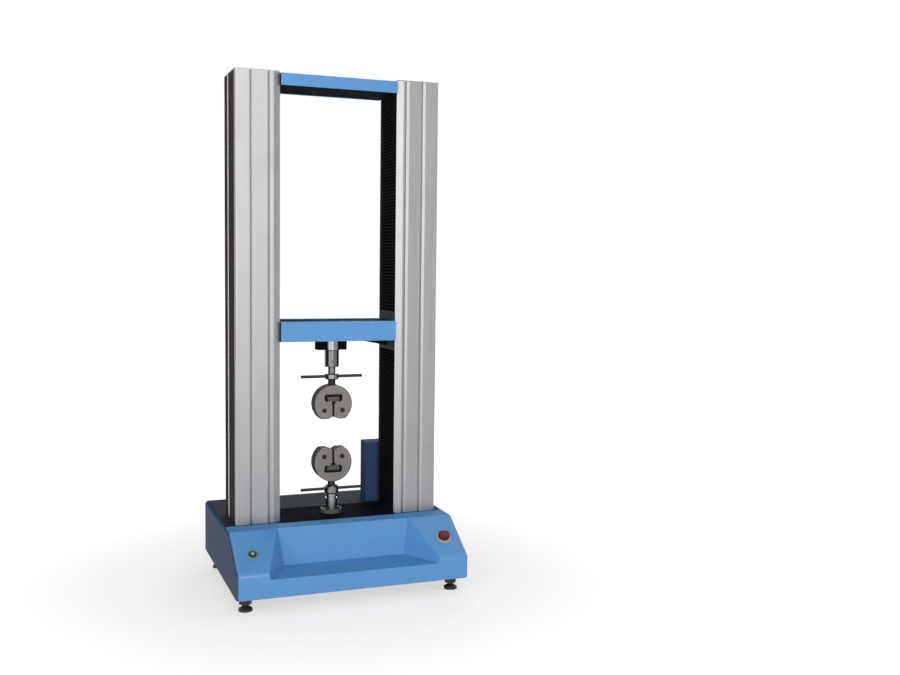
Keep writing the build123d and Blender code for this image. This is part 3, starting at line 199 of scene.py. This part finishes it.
# Materials
class Shader:
    """A Principled material built node by node, with its texture places in the part's frame."""

    def __init__(self, name):
        self.material = bpy.data.materials.new(name)
        self.material.use_nodes = True
        self.tree = self.material.node_tree
        self.bsdf = self.tree.nodes["Principled BSDF"]
        coordinates = self.add("ShaderNodeTexCoord")
        self.place = coordinates.outputs["Object"]
        self.normal = coordinates.outputs["Normal"]

    def add(self, kind, **inputs):
        made = self.tree.nodes.new(kind)
        for key, value in inputs.items():
            made.inputs[key.replace("_", " ")].default_value = value
        return made

    def link(self, source, target):
        self.tree.links.new(source, target)

    def set(self, **values):
        for key, value in values.items():
            self.bsdf.inputs[key.replace("_", " ")].default_value = value

    def drive(self, socket, source):
        self.link(source, self.bsdf.inputs[socket])

    def noise(self, scale, detail, stretch=(1, 1, 1), turn=(0, 0, 0)):
        """Noise with scale features per metre, finer along an axis where stretch is larger."""
        mapping = self.add("ShaderNodeMapping", Scale=stretch, Rotation=turn)
        self.link(self.place, mapping.inputs["Vector"])
        texture = self.add("ShaderNodeTexNoise", Scale=scale, Detail=detail)
        self.link(mapping.outputs["Vector"], texture.inputs["Vector"])
        return texture.outputs["Fac"]

    def span(self, source, low, high, start=NOISE_LOW, end=NOISE_HIGH):
        """source from start to end, turned into low to high."""
        made = self.add("ShaderNodeMapRange", From_Min=start, From_Max=end, To_Min=low, To_Max=high)
        self.link(source, made.inputs["Value"])
        return made.outputs["Result"]

    def maths(self, operation, first, second=None):
        """An operation on a socket, and on a second socket or number where it takes two."""
        made = self.add("ShaderNodeMath")
        made.operation = operation
        self.link(first, made.inputs[0])
        if isinstance(second, bpy.types.NodeSocket):
            self.link(second, made.inputs[1])
        elif second is not None:
            made.inputs[1].default_value = second
        return made.outputs["Value"]

    def vectors(self, operation, first, second):
        """An operation on a vector socket and a plain vector."""
        made = self.add("ShaderNodeVectorMath")
        made.operation = operation
        self.link(first, made.inputs[0])
        made.inputs[1].default_value = second
        return made.outputs["Vector"]

    def length(self, source):
        """The length of a vector socket."""
        made = self.add("ShaderNodeVectorMath")
        made.operation = "LENGTH"
        self.link(source, made.inputs[0])
        return made.outputs["Value"]

    def tint(self, share, first, second):
        """A colour between first and second; each is a colour or a socket."""
        made = self.add("ShaderNodeMix")
        made.data_type = "RGBA"
        self.link(share, made.inputs["Factor"])
        for socket, value in ((made.inputs[MIX_FIRST], first), (made.inputs[MIX_SECOND], second)):
            if isinstance(value, tuple):
                socket.default_value = (*value, 1.0)
            else:
                self.link(value, socket)
        return made.outputs[MIX_RESULT]

    def rounded(self, radius):
        """The surface's normal, with edges rounded off."""
        bevel = self.add("ShaderNodeBevel", Radius=radius)
        bevel.samples = BEVEL_SAMPLES
        return bevel.outputs["Normal"]

    def edges(self, radius):
        """1 along the piece's edges, 0 on its faces."""
        shape = self.add("ShaderNodeNewGeometry")
        dot = self.add("ShaderNodeVectorMath")
        dot.operation = "DOT_PRODUCT"
        self.link(self.rounded(radius), dot.inputs[0])
        self.link(shape.outputs["Normal"], dot.inputs[1])
        return self.span(dot.outputs["Value"], low=0.0, high=1.0, start=0.995, end=0.85)

    def relief(self, height, strength, distance, soft_edge):
        """Bump from height, on edges softened by soft_edge metres."""
        bump = self.add("ShaderNodeBump", Strength=strength, Distance=distance)
        self.link(height, bump.inputs["Height"])
        self.link(self.rounded(soft_edge), bump.inputs["Normal"])
        self.drive("Normal", bump.outputs["Normal"])

    def share(self, axis, vector):
        """The share of a vector socket along one axis of the part."""
        split = self.add("ShaderNodeSeparateXYZ")
        self.link(vector, split.inputs[0])
        return split.outputs[axis]

    def along(self, axis):
        """The place along one axis of the part."""
        return self.share(axis, self.place)

    def facing(self, axis):
        """How far the surface faces along or against one axis of the part: 0 to 1."""
        return self.maths("ABSOLUTE", self.share(axis, self.normal))

    def off_plane(self, axis, level):
        """Distance from the plane square to axis at level."""
        return self.maths("ABSOLUTE", self.maths("SUBTRACT", self.along(axis), level))

    def off_axis(self, centre, axis):
        """Distance from the line through centre along the unit vector axis."""
        away = self.vectors("SUBTRACT", self.place, centre)
        return self.length(self.vectors("CROSS_PRODUCT", away, axis))


def shade(colour, factor):
    return tuple(min(1.0, channel * factor) for channel in colour)


def enamel(name, colour, gloss=0.24, polish=0.6, painted_shade=()):
    """Glossy paint: faint orange peel, cloudy depth, dust in the gloss and rubbed edges.

    Each painted shade is a mask, the shade that it paints over the colour, and how far that shade drifts.
    """
    s = Shader(name)
    s.set(Specular_IOR_Level=0.1, Coat_Roughness=0.1)
    cloud = s.span(s.noise(scale=2.3, detail=4), low=0.0, high=1.0)
    body = s.tint(cloud, shade(colour, 0.94), shade(colour, 1.05))
    speck = s.span(s.noise(scale=620, detail=2), low=0.0, high=0.16, start=0.68, end=0.78)
    body = s.tint(speck, body, shade(colour, 1.2))
    patches = s.span(s.noise(scale=28, detail=5), low=0.0, high=0.4, start=0.42, end=0.66)
    body = s.tint(s.maths("MULTIPLY", s.edges(2.2 * MM), patches), body, shade(colour, 1.5))
    # Each mask paints its shade over the paint.
    for mask, tone, drift in painted_shade:
        body = s.tint(mask(s), body, s.tint(cloud, shade(tone, 1 - drift), shade(tone, 1 + drift)))
    s.drive("Base Color", body)
    s.drive("Coat Weight", s.span(s.facing("Y"), low=0.0, high=polish, start=0.3, end=0.5))
    dust = s.span(s.facing("Y"), low=0.8, high=0.0, start=0.2, end=0.45)
    smears = s.span(s.noise(scale=9, detail=6), low=gloss, high=gloss + 0.14)
    s.drive("Roughness", s.maths("MAXIMUM", smears, dust))
    s.relief(s.noise(scale=380, detail=2), strength=0.05, distance=0.3 * MM, soft_edge=2.5 * MM)
    return s.material


def casing_corner_shade(s):
    """1 on the casing's sides and on the far half of the rounded corners beside them, where painted shade
    turns the blue to navy.
    """
    start = CASING_SIDE - CORNER_SHADE_FROM
    end = CASING_SIDE - CORNER_SHADE_FULL
    return s.span(s.off_plane("X", 0.0), low=0.0, high=1.0, start=start, end=end)


def casing_side_shade(s):
    """1 on the casing's sides, where the blue takes a slate painted shade."""
    start = CASING_SIDE - FACE_DEPTH
    return s.span(s.off_plane("X", 0.0), low=0.0, high=1.0, start=start, end=start + MM)


def rear_deck_shade(s):
    """1 on the casing's top behind the columns' front, where the blue takes a dark painted shade."""
    top = s.span(s.facing("Z"), low=0.0, high=1.0, start=0.6, end=0.8)
    behind = s.span(s.along("Y"), low=0.0, high=1.0, start=DECK_LINE, end=DECK_LINE + 2 * MM)
    return s.maths("MULTIPLY", top, behind)


def satin(name, colour, gloss, worn, metallic=0.0, shine=0.5):
    """Satin paint or blackened metal: fine grain, finger marks and rubbed edges."""
    s = Shader(name)
    s.set(Metallic=metallic, Specular_IOR_Level=shine)
    patch = s.span(s.noise(scale=5, detail=5), low=0.0, high=1.0)
    body = s.tint(patch, shade(colour, 0.82), shade(colour, 1.2))
    patches = s.span(s.noise(scale=40, detail=5), low=0.1, high=0.7, start=0.4, end=0.66)
    s.drive("Base Color", s.tint(s.maths("MULTIPLY", s.edges(1.4 * MM), patches), body, worn))
    s.drive("Roughness", s.span(s.noise(scale=14, detail=6), low=gloss, high=gloss + 0.16))
    s.relief(s.noise(scale=900, detail=3), strength=0.08, distance=0.2 * MM, soft_edge=0.8 * MM)
    return s.material


def brushed(name, colour, gloss, stretch, turn=(0, 0, 0), metallic=1.0, depth=0.1, oxide=None):
    """Brushed or machined metal: fine lines across the long axis of stretch, with handling marks.

    oxide is a mask that is 1 where the metal is darkened: blackened on the handles and the flange, painted
    shade on the grips.
    """
    s = Shader(name)
    s.set(Metallic=metallic, Specular_IOR_Level=0.5)
    lines = s.noise(BRUSH_LINES, 4, stretch, turn)
    broad = s.noise(BROAD_LINES, 3, stretch, turn)
    body = s.tint(s.span(lines, low=0.0, high=1.0), shade(colour, 0.93), shade(colour, 1.05))
    body = s.tint(s.span(broad, low=0.0, high=0.5), body, shade(colour, 0.9))
    stain = s.span(s.noise(scale=7, detail=5), low=0.0, high=0.3, start=0.5, end=0.72)
    body = s.tint(stain, body, shade(colour, 0.8))
    patches = s.span(s.noise(scale=60, detail=3), low=0.2, high=0.8)
    body = s.tint(s.maths("MULTIPLY", s.edges(1.0 * MM), patches), body, shade(colour, 1.18))
    rough = s.span(lines, low=gloss - 0.05, high=gloss + 0.09)
    # The handles' and the flange's masks blacken the metal. The grips' mask paints shade.
    if oxide:
        black = oxide(s)
        body = s.tint(black, body, shade(colour, 0.1))
        s.drive("Metallic", s.span(black, low=metallic, high=0.0, start=0.0, end=1.0))
        rough = s.maths("MAXIMUM", rough, s.span(black, low=0.0, high=0.8, start=0.0, end=1.0))
    s.drive("Base Color", body)
    s.drive("Roughness", rough)
    s.relief(lines, strength=depth, distance=0.1 * MM, soft_edge=0.6 * MM)
    return s.material


def grip_painted_shade(s):
    """Ground on the flat faces, with painted shade round the rim, inside the window and along the stem to the
    hub.
    """
    start = GRIP_FACE - FACE_DEPTH
    inside = s.span(s.off_plane("Y", LOAD_AXIS.y), low=1.0, high=0.0, start=start, end=start + 0.6 * MM)
    from_middle = s.off_plane("Z", HUBS_MIDDLE)
    before_hub = s.span(from_middle, low=1.0, high=0.0, start=HUB_DISTANCE, end=HUB_DISTANCE + MM)
    return s.maths("MULTIPLY", inside, before_hub)


def blackened_flange(s):
    """Bright at the neck, blackened on the flange."""
    start = ADAPTOR_NECK_RADIUS + MM
    return s.span(s.off_axis(LOAD_AXIS, UPWARD), low=0.0, high=0.8, start=start, end=start + 3 * MM)


def blackened_bars(s):
    """Bright at the hub, blackened along the bars."""
    return s.span(s.off_axis(LOAD_AXIS, UPWARD), low=0.0, high=1.0, start=HUB_RADIUS, end=HUB_RADIUS + 2 * MM)


def moulded(name, colour, gloss, grain=0.06, shine=0.5, dust=0.12):
    """Moulded plastic or rubber: a fine grain, dull patches and a little dust."""
    s = Shader(name)
    s.set(Specular_IOR_Level=shine)
    patch = s.span(s.noise(scale=18, detail=4), low=0.0, high=1.0)
    body = s.tint(patch, shade(colour, 0.9), shade(colour, 1.1))
    specks = s.span(s.noise(scale=240, detail=3), low=0.0, high=dust, start=0.6, end=0.75)
    s.drive("Base Color", s.tint(specks, body, DUST_GREY))
    s.drive("Roughness", s.span(s.noise(scale=30, detail=5), low=gloss, high=gloss + 0.12))
    s.relief(s.noise(scale=1400, detail=2), strength=grain, distance=0.2 * MM, soft_edge=0.6 * MM)
    return s.material


def button_face(name, rim, ring, centre, at, reach):
    """Smooth plastic in three tones about a button's axis, out to reach. On the green button and the stop
    head, the pale centre is a painted highlight and the dark rim is painted shade.
    """
    s = Shader(name)
    s.set(Specular_IOR_Level=0.25)
    from_axis = s.off_axis(at, BUTTON_AXIS)
    body = s.tint(s.span(from_axis, low=0.0, high=1.0, start=0.3 * reach, end=0.55 * reach), centre, ring)
    body = s.tint(s.span(from_axis, low=0.0, high=1.0, start=0.6 * reach, end=0.95 * reach), body, rim)
    specks = s.span(s.noise(scale=300, detail=3), low=0.0, high=0.12, start=0.55, end=0.75)
    s.drive("Base Color", s.tint(specks, body, DUST_GREY))
    s.drive("Roughness", s.span(s.noise(scale=40, detail=4), low=0.16, high=0.28))
    s.relief(s.noise(scale=900, detail=2), strength=0.03, distance=0.2 * MM, soft_edge=0.6 * MM)
    return s.material


# The casing is one blue paint. Its navy corners, slate sides and dark slate deck are painted shade.
CASING_PAINTED_SHADE = ((casing_corner_shade, NAVY, 0.0), (casing_side_shade, SLATE, 0.1), (rear_deck_shade, DARK_SLATE, 0.1))
MATERIALS = {
    "blue_paint": enamel("blue enamel", BLUE),
    "casing_paint": enamel("blue enamel with painted shade", BLUE, painted_shade=CASING_PAINTED_SHADE),
    "slate_paint": enamel("slate enamel", SLATE, gloss=0.35, polish=0.1),
    "cabinet_paint": enamel("dark blue enamel", (0.036, 0.07, 0.16), gloss=0.4, polish=0.1),
    "dark_cover": satin(
        "dark sheet", (0.026, 0.016, 0.017), gloss=0.78, worn=(0.05, 0.04, 0.04), shine=0.08
    ),
    "black_plate": satin(
        "blackened plate", (0.006, 0.0075, 0.012), gloss=0.75, worn=(0.03, 0.03, 0.03), shine=0.008
    ),
    "grey_metal": satin(
        "grey casting", (0.036, 0.042, 0.048), gloss=0.7, worn=(0.12, 0.12, 0.12), shine=0.15
    ),
    "foot_black": satin(
        "black oxide", (0.045, 0.045, 0.048), gloss=0.36, worn=(0.16, 0.16, 0.16), metallic=0.5, shine=0.3
    ),
    "dark_socket": satin(
        "dark screw", (0.016, 0.015, 0.014), gloss=0.4, worn=(0.1, 0.095, 0.09), shine=0.15
    ),
    "silver_profile": brushed("anodised profile", (0.3, 0.3, 0.308), 0.38, VERTICAL_LINES, metallic=0.9),
    # A painted highlight: bright metal along the seams of the columns' dark sides.
    "bright_strip": brushed("bright strip", (0.5, 0.5, 0.51), 0.34, VERTICAL_LINES),
    "steel": brushed("turned steel", (0.135, 0.132, 0.127), 0.24, HORIZONTAL_LINES, depth=0.14),
    "bright_steel": brushed("polished steel", (0.225, 0.232, 0.24), 0.2, HORIZONTAL_LINES, depth=0.08),
    "handle_steel": brushed(
        "handle steel", (0.2, 0.196, 0.186), 0.24, HORIZONTAL_LINES, oxide=blackened_bars
    ),
    # The grip and pusher steels take painted shade round the grip's rim, in its window and on its stem.
    "grip_steel": brushed(
        "ground grip steel",
        (0.165, 0.156, 0.15),
        0.4,
        GROUND_LINES,
        GROUND_TURN,
        depth=0.16,
        oxide=grip_painted_shade,
    ),
    "pusher_steel": brushed(
        "pusher steel", (0.075, 0.072, 0.07), 0.42, GROUND_LINES, oxide=grip_painted_shade
    ),
    "adaptor_steel": brushed(
        "adaptor steel", (0.3, 0.3, 0.3), 0.24, HORIZONTAL_LINES, oxide=blackened_flange
    ),
    "chrome": brushed("chromed metal", (0.66, 0.66, 0.67), 0.12, HORIZONTAL_LINES, depth=0.04),
    "pulley_metal": brushed("machined pulley", (0.6, 0.6, 0.62), 0.3, HORIZONTAL_LINES),
    "bellows": moulded("bellows rubber", (0.003, 0.003, 0.004), 0.6, grain=0.12, shine=0.06, dust=0.008),
    "belt": moulded("belt rubber", (0.02, 0.02, 0.02), 0.6, grain=0.2),
    "black_plastic": moulded("black plastic", (0.03, 0.03, 0.03), 0.42),
    "collar_plastic": moulded("pale plastic", (0.5, 0.44, 0.34), 0.3, grain=0.03),
    # The green button's pale centre and the stop head's bright centre are painted highlights. Their dark rims
    # are painted shade.
    "green_plastic": button_face(
        "green button with painted highlight", DEEP_GREEN, (0.008, 0.11, 0.075), (0.42, 0.52, 0.4), BUTTON_PLACE, LENS_REACH
    ),
    "bezel_ring": button_face(
        "button bezel", (0.2, 0.24, 0.2), DEEP_GREEN, DEEP_GREEN, BUTTON_PLACE, BEZEL_REACH
    ),
    "red_plastic": button_face(
        "red stop head with painted highlight and shade",
        (0.045, 0.004, 0.009),
        (0.12, 0.007, 0.014),
        (0.2, 0.02, 0.024),
        STOP_PLACE,
        STOP_REACH,
    ),
}
FINER = {
    "upper_handle": "handle_steel",
    "lower_handle": "handle_steel",
    "load_cell": "bright_steel",
    "start_button_bezel": "bezel_ring",
    "lower_adaptor": "adaptor_steel",
    "lower_adaptor_bolts": "dark_socket",
    "upper_pusher": "pusher_steel",
    "lower_pusher": "pusher_steel",
    "crosshead_beam": "black_plate",
    "base_casing": "casing_paint",
    "rear_panel": "slate_paint",
    "column_caps": "silver_profile",
}


def dress(piece, finish):
    piece.data.materials.clear()
    piece.data.materials.append(MATERIALS[finish])


for part in frame["record"]["subparts"]:
    node = part["node"]
    dress(frame["nodes"][node], FINER.get(node, part["material_slot"]))


# Mesh helpers
def piece_from(name, mesh_maker, finish, smooth=False):
    """A new piece whose mesh is filled by mesh_maker(bm)."""
    bm = bmesh.new()
    mesh_maker(bm)
    bmesh.ops.recalc_face_normals(bm, faces=bm.faces)
    mesh = bpy.data.meshes.new(name)
    bm.to_mesh(mesh)
    bm.free()
    for face in mesh.polygons:
        face.use_smooth = smooth
    made = bpy.data.objects.new(name, mesh)
    bpy.context.scene.collection.objects.link(made)
    dress(made, finish)
    return made


def bridge(bm, first, second, closed=True):
    """Faces between two rows of points with the same count."""
    count = len(first)
    for i in range(count if closed else count - 1):
        j = (i + 1) % count
        bm.faces.new((first[i], first[j], second[j], second[i]))


def close_sheets(bm, front, back):
    """Faces between the borders of two sheets of points, each a list of rows."""
    for row in (0, -1):
        bridge(bm, front[row], back[row], closed=False)
    for column in (0, -1):
        bridge(bm, [r[column] for r in front], [r[column] for r in back], closed=False)


def add_screw(bm, at, normal, radius, height):
    """A button head with a hexagon socket, standing at a point of a face with that normal."""
    turn = Vector(normal).to_track_quat("Z", "Y").to_matrix().to_4x4()
    place = Matrix.Translation(Vector(at)) @ turn

    def ring(reach, z, hexagon=False):
        row = []
        for i in range(SCREW_SEGMENTS):
            angle = 2 * pi * i / SCREW_SEGMENTS
            from_flat = (angle + pi / 6) % (pi / 3) - pi / 6
            r = reach / cos(from_flat) if hexagon else reach
            row.append(bm.verts.new(place @ Vector((r * cos(angle), r * sin(angle), z))))
        return row

    socket = SOCKET_REACH * radius
    rows = [ring(share * radius, rise * height) for share, rise in SCREW_RINGS]
    rows.append(ring(socket, height, hexagon=True))
    rows.append(ring(SOCKET_TAPER * socket, SOCKET_FLOOR * height, hexagon=True))
    for first, second in zip(rows, rows[1:]):
        bridge(bm, first, second)
    bm.faces.new(rows[0])
    bm.faces.new(rows[-1])


def screws(name, places, radius, height, body):
    """One piece of equal screws; each place is a point and the normal of the face there."""
    def fill(bm):
        for at, normal in places:
            add_screw(bm, at, normal, radius, height)

    made = piece_from(name, fill, "dark_socket")
    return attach(made, body)


# Bellows: pleated rubber between the crosshead and the column's ends
def pleat(t):
    """0 at the fold that shows, 1 at the fold behind it, for t in pleats."""
    saw = 1 - abs((t % 1.0) * 2 - 1)
    smooth = saw * saw * (3 - 2 * saw)
    return PLEAT_SHARPNESS * saw + (1 - PLEAT_SHARPNESS) * smooth


def bellows(node):
    low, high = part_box(node)
    sign = 1 if low.x > 0 else -1
    tip = min(abs(low.x), abs(high.x))
    depth = abs(high.x - low.x) - PLEAT_SKIN
    length = high.z - low.z
    width = high.y - low.y
    rows = round(length / PLEAT_PITCH) * PLEAT_STEPS

    def add_row(bm, i, skin):
        fold = pleat(i / PLEAT_STEPS)
        z = low.z + length * i / rows
        row = []
        for station in BELLOWS_STATIONS:
            inset = min(station, 1 - station) * width
            fade = min(1.0, inset / PLEAT_END_FOLD)
            drop = PLEAT_END_DROP * (1 - fade) * (1 - fold)
            x = tip + min(depth, depth * fold + drop) + skin
            row.append(bm.verts.new((sign * x, low.y + station * width, z)))
        return row

    def fill(bm):
        sheets = []
        for skin in (0.0, PLEAT_SKIN):
            sheet = [add_row(bm, i, skin) for i in range(rows + 1)]
            for first, second in zip(sheet, sheet[1:]):
                bridge(bm, first, second, closed=False)
            sheets.append(sheet)
        close_sheets(bm, *sheets)

    made = piece_from(node.replace("bellows", "pleated_bellows"), fill, "bellows")
    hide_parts(node)
    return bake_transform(made)


for side in SIDES:
    low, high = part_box(f"bellows_upper_{side}")
    bellows(f"bellows_upper_{side}")
    low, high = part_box(f"bellows_lower_{side}")
    bellows(f"bellows_lower_{side}")


# Seam strips down the outer side of each column, made bright as a painted highlight on the dark side
def seam_highlight_strip(side):
    low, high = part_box(f"column_cover_{side}")
    sign = 1 if low.x > 0 else -1
    face = max(abs(low.x), abs(high.x))

    def fill(bm):
        ends = []
        for z in (low.z + SEAM_HIGHLIGHT_END, high.z - SEAM_HIGHLIGHT_END):
            row = []
            for i in range(SEAM_HIGHLIGHT_ARC + 1):
                turn = pi * i / SEAM_HIGHLIGHT_ARC
                x = face + SEAM_HIGHLIGHT_PROUD * sin(turn) ** SEAM_HIGHLIGHT_FULLNESS
                y = SEAM_HIGHLIGHT_Y - SEAM_HIGHLIGHT_WIDTH / 2 * cos(turn)
                row.append(bm.verts.new((sign * x, y, z)))
            ends.append(row)
        bridge(bm, *ends)
        for row in ends:
            bm.faces.new(row)

    # Bright metal: the seam's painted highlight.
    made = piece_from(f"seam_highlight_strip_{side}", fill, "bright_strip")
    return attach(made, "frame")


for side in SIDES:
    seam_highlight_strip(side)


# A black wedge plate between the crosshead's underside and the right bellows flange
def fill_black_wedge(bm):
    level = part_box("crosshead_beam")[0].z
    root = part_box("bellows_lower_right")[0].x + WEDGE_LAP
    tip = root - WEDGE_LENGTH
    outline = [(tip, level), (root, level), (root, level - WEDGE_DROP), (tip, level - WEDGE_TIP_DROP)]
    ends = []
    for y in (WEDGE_Y - WEDGE_SHEET / 2, WEDGE_Y + WEDGE_SHEET / 2):
        ends.append([bm.verts.new((x, y, z)) for x, z in outline])
    bridge(bm, *ends)
    for row in ends:
        bm.faces.new(row)
    bmesh.ops.bevel(bm, geom=bm.edges[:], offset=WEDGE_EDGE, segments=2, affect="EDGES", profile=0.5)


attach(piece_from("crosshead_black_wedge", fill_black_wedge, "black_plate"), "crosshead")

# Screws in the grip faces
for name, body, towards_mouth in (("upper", "crosshead", -1), ("lower", "frame", 1)):
    jaw_low, jaw_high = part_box(f"{name}_jaw_right")
    jaw_root = jaw_high.z if towards_mouth < 0 else jaw_low.z
    level = jaw_root + towards_mouth * GRIP_SCREW_PAST_JAW
    body_low, body_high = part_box(f"{name}_grip_body")
    places = []
    for x in (-GRIP_SCREW_X, GRIP_SCREW_X):
        places.append(((x, body_low.y, level), FORWARD))
        places.append(((x, body_high.y, level), BACKWARD))
    screws(f"{name}_grip_screws", places, GRIP_SCREW_RADIUS, GRIP_SCREW_HEIGHT, body)

# Rear panel: screws and louvre hoods
panel_low, panel_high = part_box("rear_panel")
panel_middle = (panel_low.z + panel_high.z) / 2
panel_places = []
for x in (
    panel_low.x + PANEL_SCREW_INSET,
    PANEL_SCREW_INNER * panel_low.x,
    PANEL_SCREW_INNER * panel_high.x,
    panel_high.x - PANEL_SCREW_INSET,
):
    for z in (panel_low.z + PANEL_SCREW_INSET, panel_high.z - PANEL_SCREW_INSET):
        panel_places.append(((x, panel_high.y, z), BACKWARD))
screws("rear_panel_screws", panel_places, PANEL_SCREW_RADIUS, PANEL_SCREW_HEIGHT, "frame")


def add_hood(bm, x, z):
    """A pressed louvre hood over one slot: a quarter-round lip with tapered ends."""
    sheets = []
    for skin in (0.0, HOOD_SKIN):
        sheet = []
        for i in range(HOOD_ENDS + 1):
            along = -1 + 2 * i / HOOD_ENDS
            swell = (1 - abs(along) ** HOOD_FULLNESS) ** 0.5
            rise = HOOD_RISE * (HOOD_END_RISE + (1 - HOOD_END_RISE) * swell)
            row = []
            for j in range(HOOD_ARC + 1):
                turn = pi / 2 * j / HOOD_ARC
                out = (HOOD_REACH - skin) * swell * sin(turn)
                up = rise * cos(turn) - skin
                row.append(bm.verts.new((x + along * LOUVRE_LENGTH / 2, panel_high.y + out, z + up)))
            sheet.append(row)
        for first, second in zip(sheet, sheet[1:]):
            bridge(bm, first, second, closed=False)
        sheets.append(sheet)
    close_sheets(bm, *sheets)


def fill_hoods(bm):
    for x in (-LOUVRE_OFFSET, LOUVRE_OFFSET):
        for row in range(LOUVRE_ROWS):
            add_hood(bm, x, panel_middle + (row - (LOUVRE_ROWS - 1) / 2) * LOUVRE_PITCH)


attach(piece_from("louvre_hoods", fill_hoods, "slate_paint", smooth=True), "frame")

# Screws down the back of both columns
for side in SIDES:
    low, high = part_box(f"column_cover_{side}")
    run = high.z - low.z - 2 * COLUMN_SCREW_END
    places = []
    for step in range(COLUMN_SCREW_ROWS):
        level = low.z + COLUMN_SCREW_END + run * step / (COLUMN_SCREW_ROWS - 1)
        for x in (low.x + PANEL_SCREW_INSET, high.x - PANEL_SCREW_INSET):
            places.append(((x, high.y, level), BACKWARD))
    screws(f"column_cover_screws_{side}", places, PANEL_SCREW_RADIUS, PANEL_SCREW_HEIGHT, "frame")


# Screws on the inlet, the top cover and the crosshead's rear cover
def across_back(node, inset, between=()):
    """Places along the middle of a node's back: inset from both ends, and at each of between."""
    low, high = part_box(node)
    level = (low.z + high.z) / 2
    return [((x, high.y, level), BACKWARD) for x in (low.x + inset, *between, high.x - inset)]


inlet_places = across_back("power_inlet", INLET_SCREW_INSET)
screws("inlet_screws", inlet_places, INLET_SCREW_RADIUS, INLET_SCREW_HEIGHT, "frame")
top_places = across_back("top_cover", BEAM_SCREW_INSET, [0.0])
screws("top_cover_screws", top_places, PANEL_SCREW_RADIUS, PANEL_SCREW_HEIGHT, "frame")
crosshead_places = across_back("crosshead_covers", BEAM_SCREW_INSET, [0.0])
screws("crosshead_screws", crosshead_places, PANEL_SCREW_RADIUS, PANEL_SCREW_HEIGHT, "crosshead")


# Floor: a plain pale floor for the light, and a white ground with a soft shadow for the eye
def any_ray(tree, rays):
    """1 for each of the named kinds of ray."""
    path = tree.nodes.new("ShaderNodeLightPath")
    seen = path.outputs[rays[0]]
    for ray in rays[1:]:
        either = tree.nodes.new("ShaderNodeMath")
        either.operation = "MAXIMUM"
        tree.links.new(seen, either.inputs[0])
        tree.links.new(path.outputs[ray], either.inputs[1])
        seen = either.outputs["Value"]
    return seen


def choose(tree, seen, usual, special, output):
    """Shows special where seen is 1, and usual elsewhere."""
    mix = tree.nodes.new("ShaderNodeMixShader")
    for source, socket in zip((seen, usual.outputs[0], special.outputs[0]), mix.inputs):
        tree.links.new(source, socket)
    tree.links.new(mix.outputs[0], tree.nodes[output].inputs["Surface"])


def floor_material():
    s = Shader("pale floor")
    s.set(Specular_IOR_Level=0.2)
    cloud = s.span(s.noise(scale=3, detail=4), low=0.0, high=1.0)
    s.drive("Base Color", s.tint(cloud, (0.82, 0.82, 0.82), (0.86, 0.86, 0.86)))
    s.drive("Roughness", s.span(s.noise(scale=20, detail=4), low=0.6, high=0.75))
    away = s.length(s.place)
    glow = s.add("ShaderNodeEmission")
    strength = s.span(away, low=FLOOR_NEAR_GLOW, high=1.0, start=FLOOR_SHADOW_REACH, end=FLOOR_WHITE_FROM)
    s.link(strength, glow.inputs["Strength"])
    bounce = s.add("ShaderNodeBsdfDiffuse", Color=FLOOR_BOUNCE)
    both = s.add("ShaderNodeAddShader")
    s.link(glow.outputs[0], both.inputs[0])
    s.link(bounce.outputs[0], both.inputs[1])
    seen = any_ray(s.tree, ("Is Camera Ray", "Is Glossy Ray"))
    choose(s.tree, seen, s.bsdf, both, "Material Output")
    return s.material


def fill_floor(bm):
    half = FLOOR_HALF
    corners = [(-half, -half), (half, -half), (half, half), (-half, half)]
    bm.faces.new([bm.verts.new((x, y, 0)) for x, y in corners])


MATERIALS["floor"] = floor_material()
piece_from("floor", fill_floor, "floor", smooth=True)


# World and lights: a white backdrop for the eye, a weak soft light for the part
def studio_world():
    world = bpy.data.worlds.new("studio")
    bpy.context.scene.world = world
    world.use_nodes = True
    tree = world.node_tree
    backdrop = tree.nodes["Background"]
    backdrop.inputs["Color"].default_value = WHITE
    backdrop.inputs["Strength"].default_value = 1.0
    soft = tree.nodes.new("ShaderNodeBackground")
    soft.inputs["Color"].default_value = SOFT_LIGHT
    soft.inputs["Strength"].default_value = SOFT_STRENGTH
    seen = any_ray(tree, ("Is Camera Ray", "Is Glossy Ray", "Is Transmission Ray"))
    choose(tree, seen, soft, backdrop, "World Output")


def softbox(name, at, size, power):
    data = bpy.data.lights.new(name, "AREA")
    data.shape = "RECTANGLE"
    data.size, data.size_y = size
    data.energy = power
    lamp = bpy.data.objects.new(name, data)
    bpy.context.scene.collection.objects.link(lamp)
    direction = Vector(LIT_POINT) - Vector(at)
    turn = direction.to_track_quat("-Z", "Y").to_matrix().to_4x4()
    lamp.matrix_world = Matrix.Translation(Vector(at)) @ turn


studio_world()
for name, (at, size, power) in SOFTBOXES.items():
    softbox(name, at, size, power)


# Camera
def make_camera():
    ahead = Vector((-sin(CAMERA_YAW), cos(CAMERA_YAW), 0))
    forward = cos(CAMERA_PITCH) * ahead + sin(CAMERA_PITCH) * Vector(UPWARD)
    level = Vector((cos(CAMERA_YAW), sin(CAMERA_YAW), 0))
    above = level.cross(forward)
    right = cos(CAMERA_ROLL) * level + sin(CAMERA_ROLL) * above
    up = cos(CAMERA_ROLL) * above - sin(CAMERA_ROLL) * level
    data = bpy.data.cameras.new("camera")
    data.sensor_width = SENSOR_WIDTH
    data.lens = FOCAL_PIXELS * SENSOR_WIDTH / PICTURE_WIDTH
    camera = bpy.data.objects.new("camera", data)
    bpy.context.scene.collection.objects.link(camera)
    turn = Matrix((right, up, -forward)).transposed().to_4x4()
    camera.matrix_world = Matrix.Translation(CAMERA_PLACE) @ turn
    bpy.context.scene.camera = camera


make_camera()
bpy.context.scene.view_settings.view_transform = "Standard"
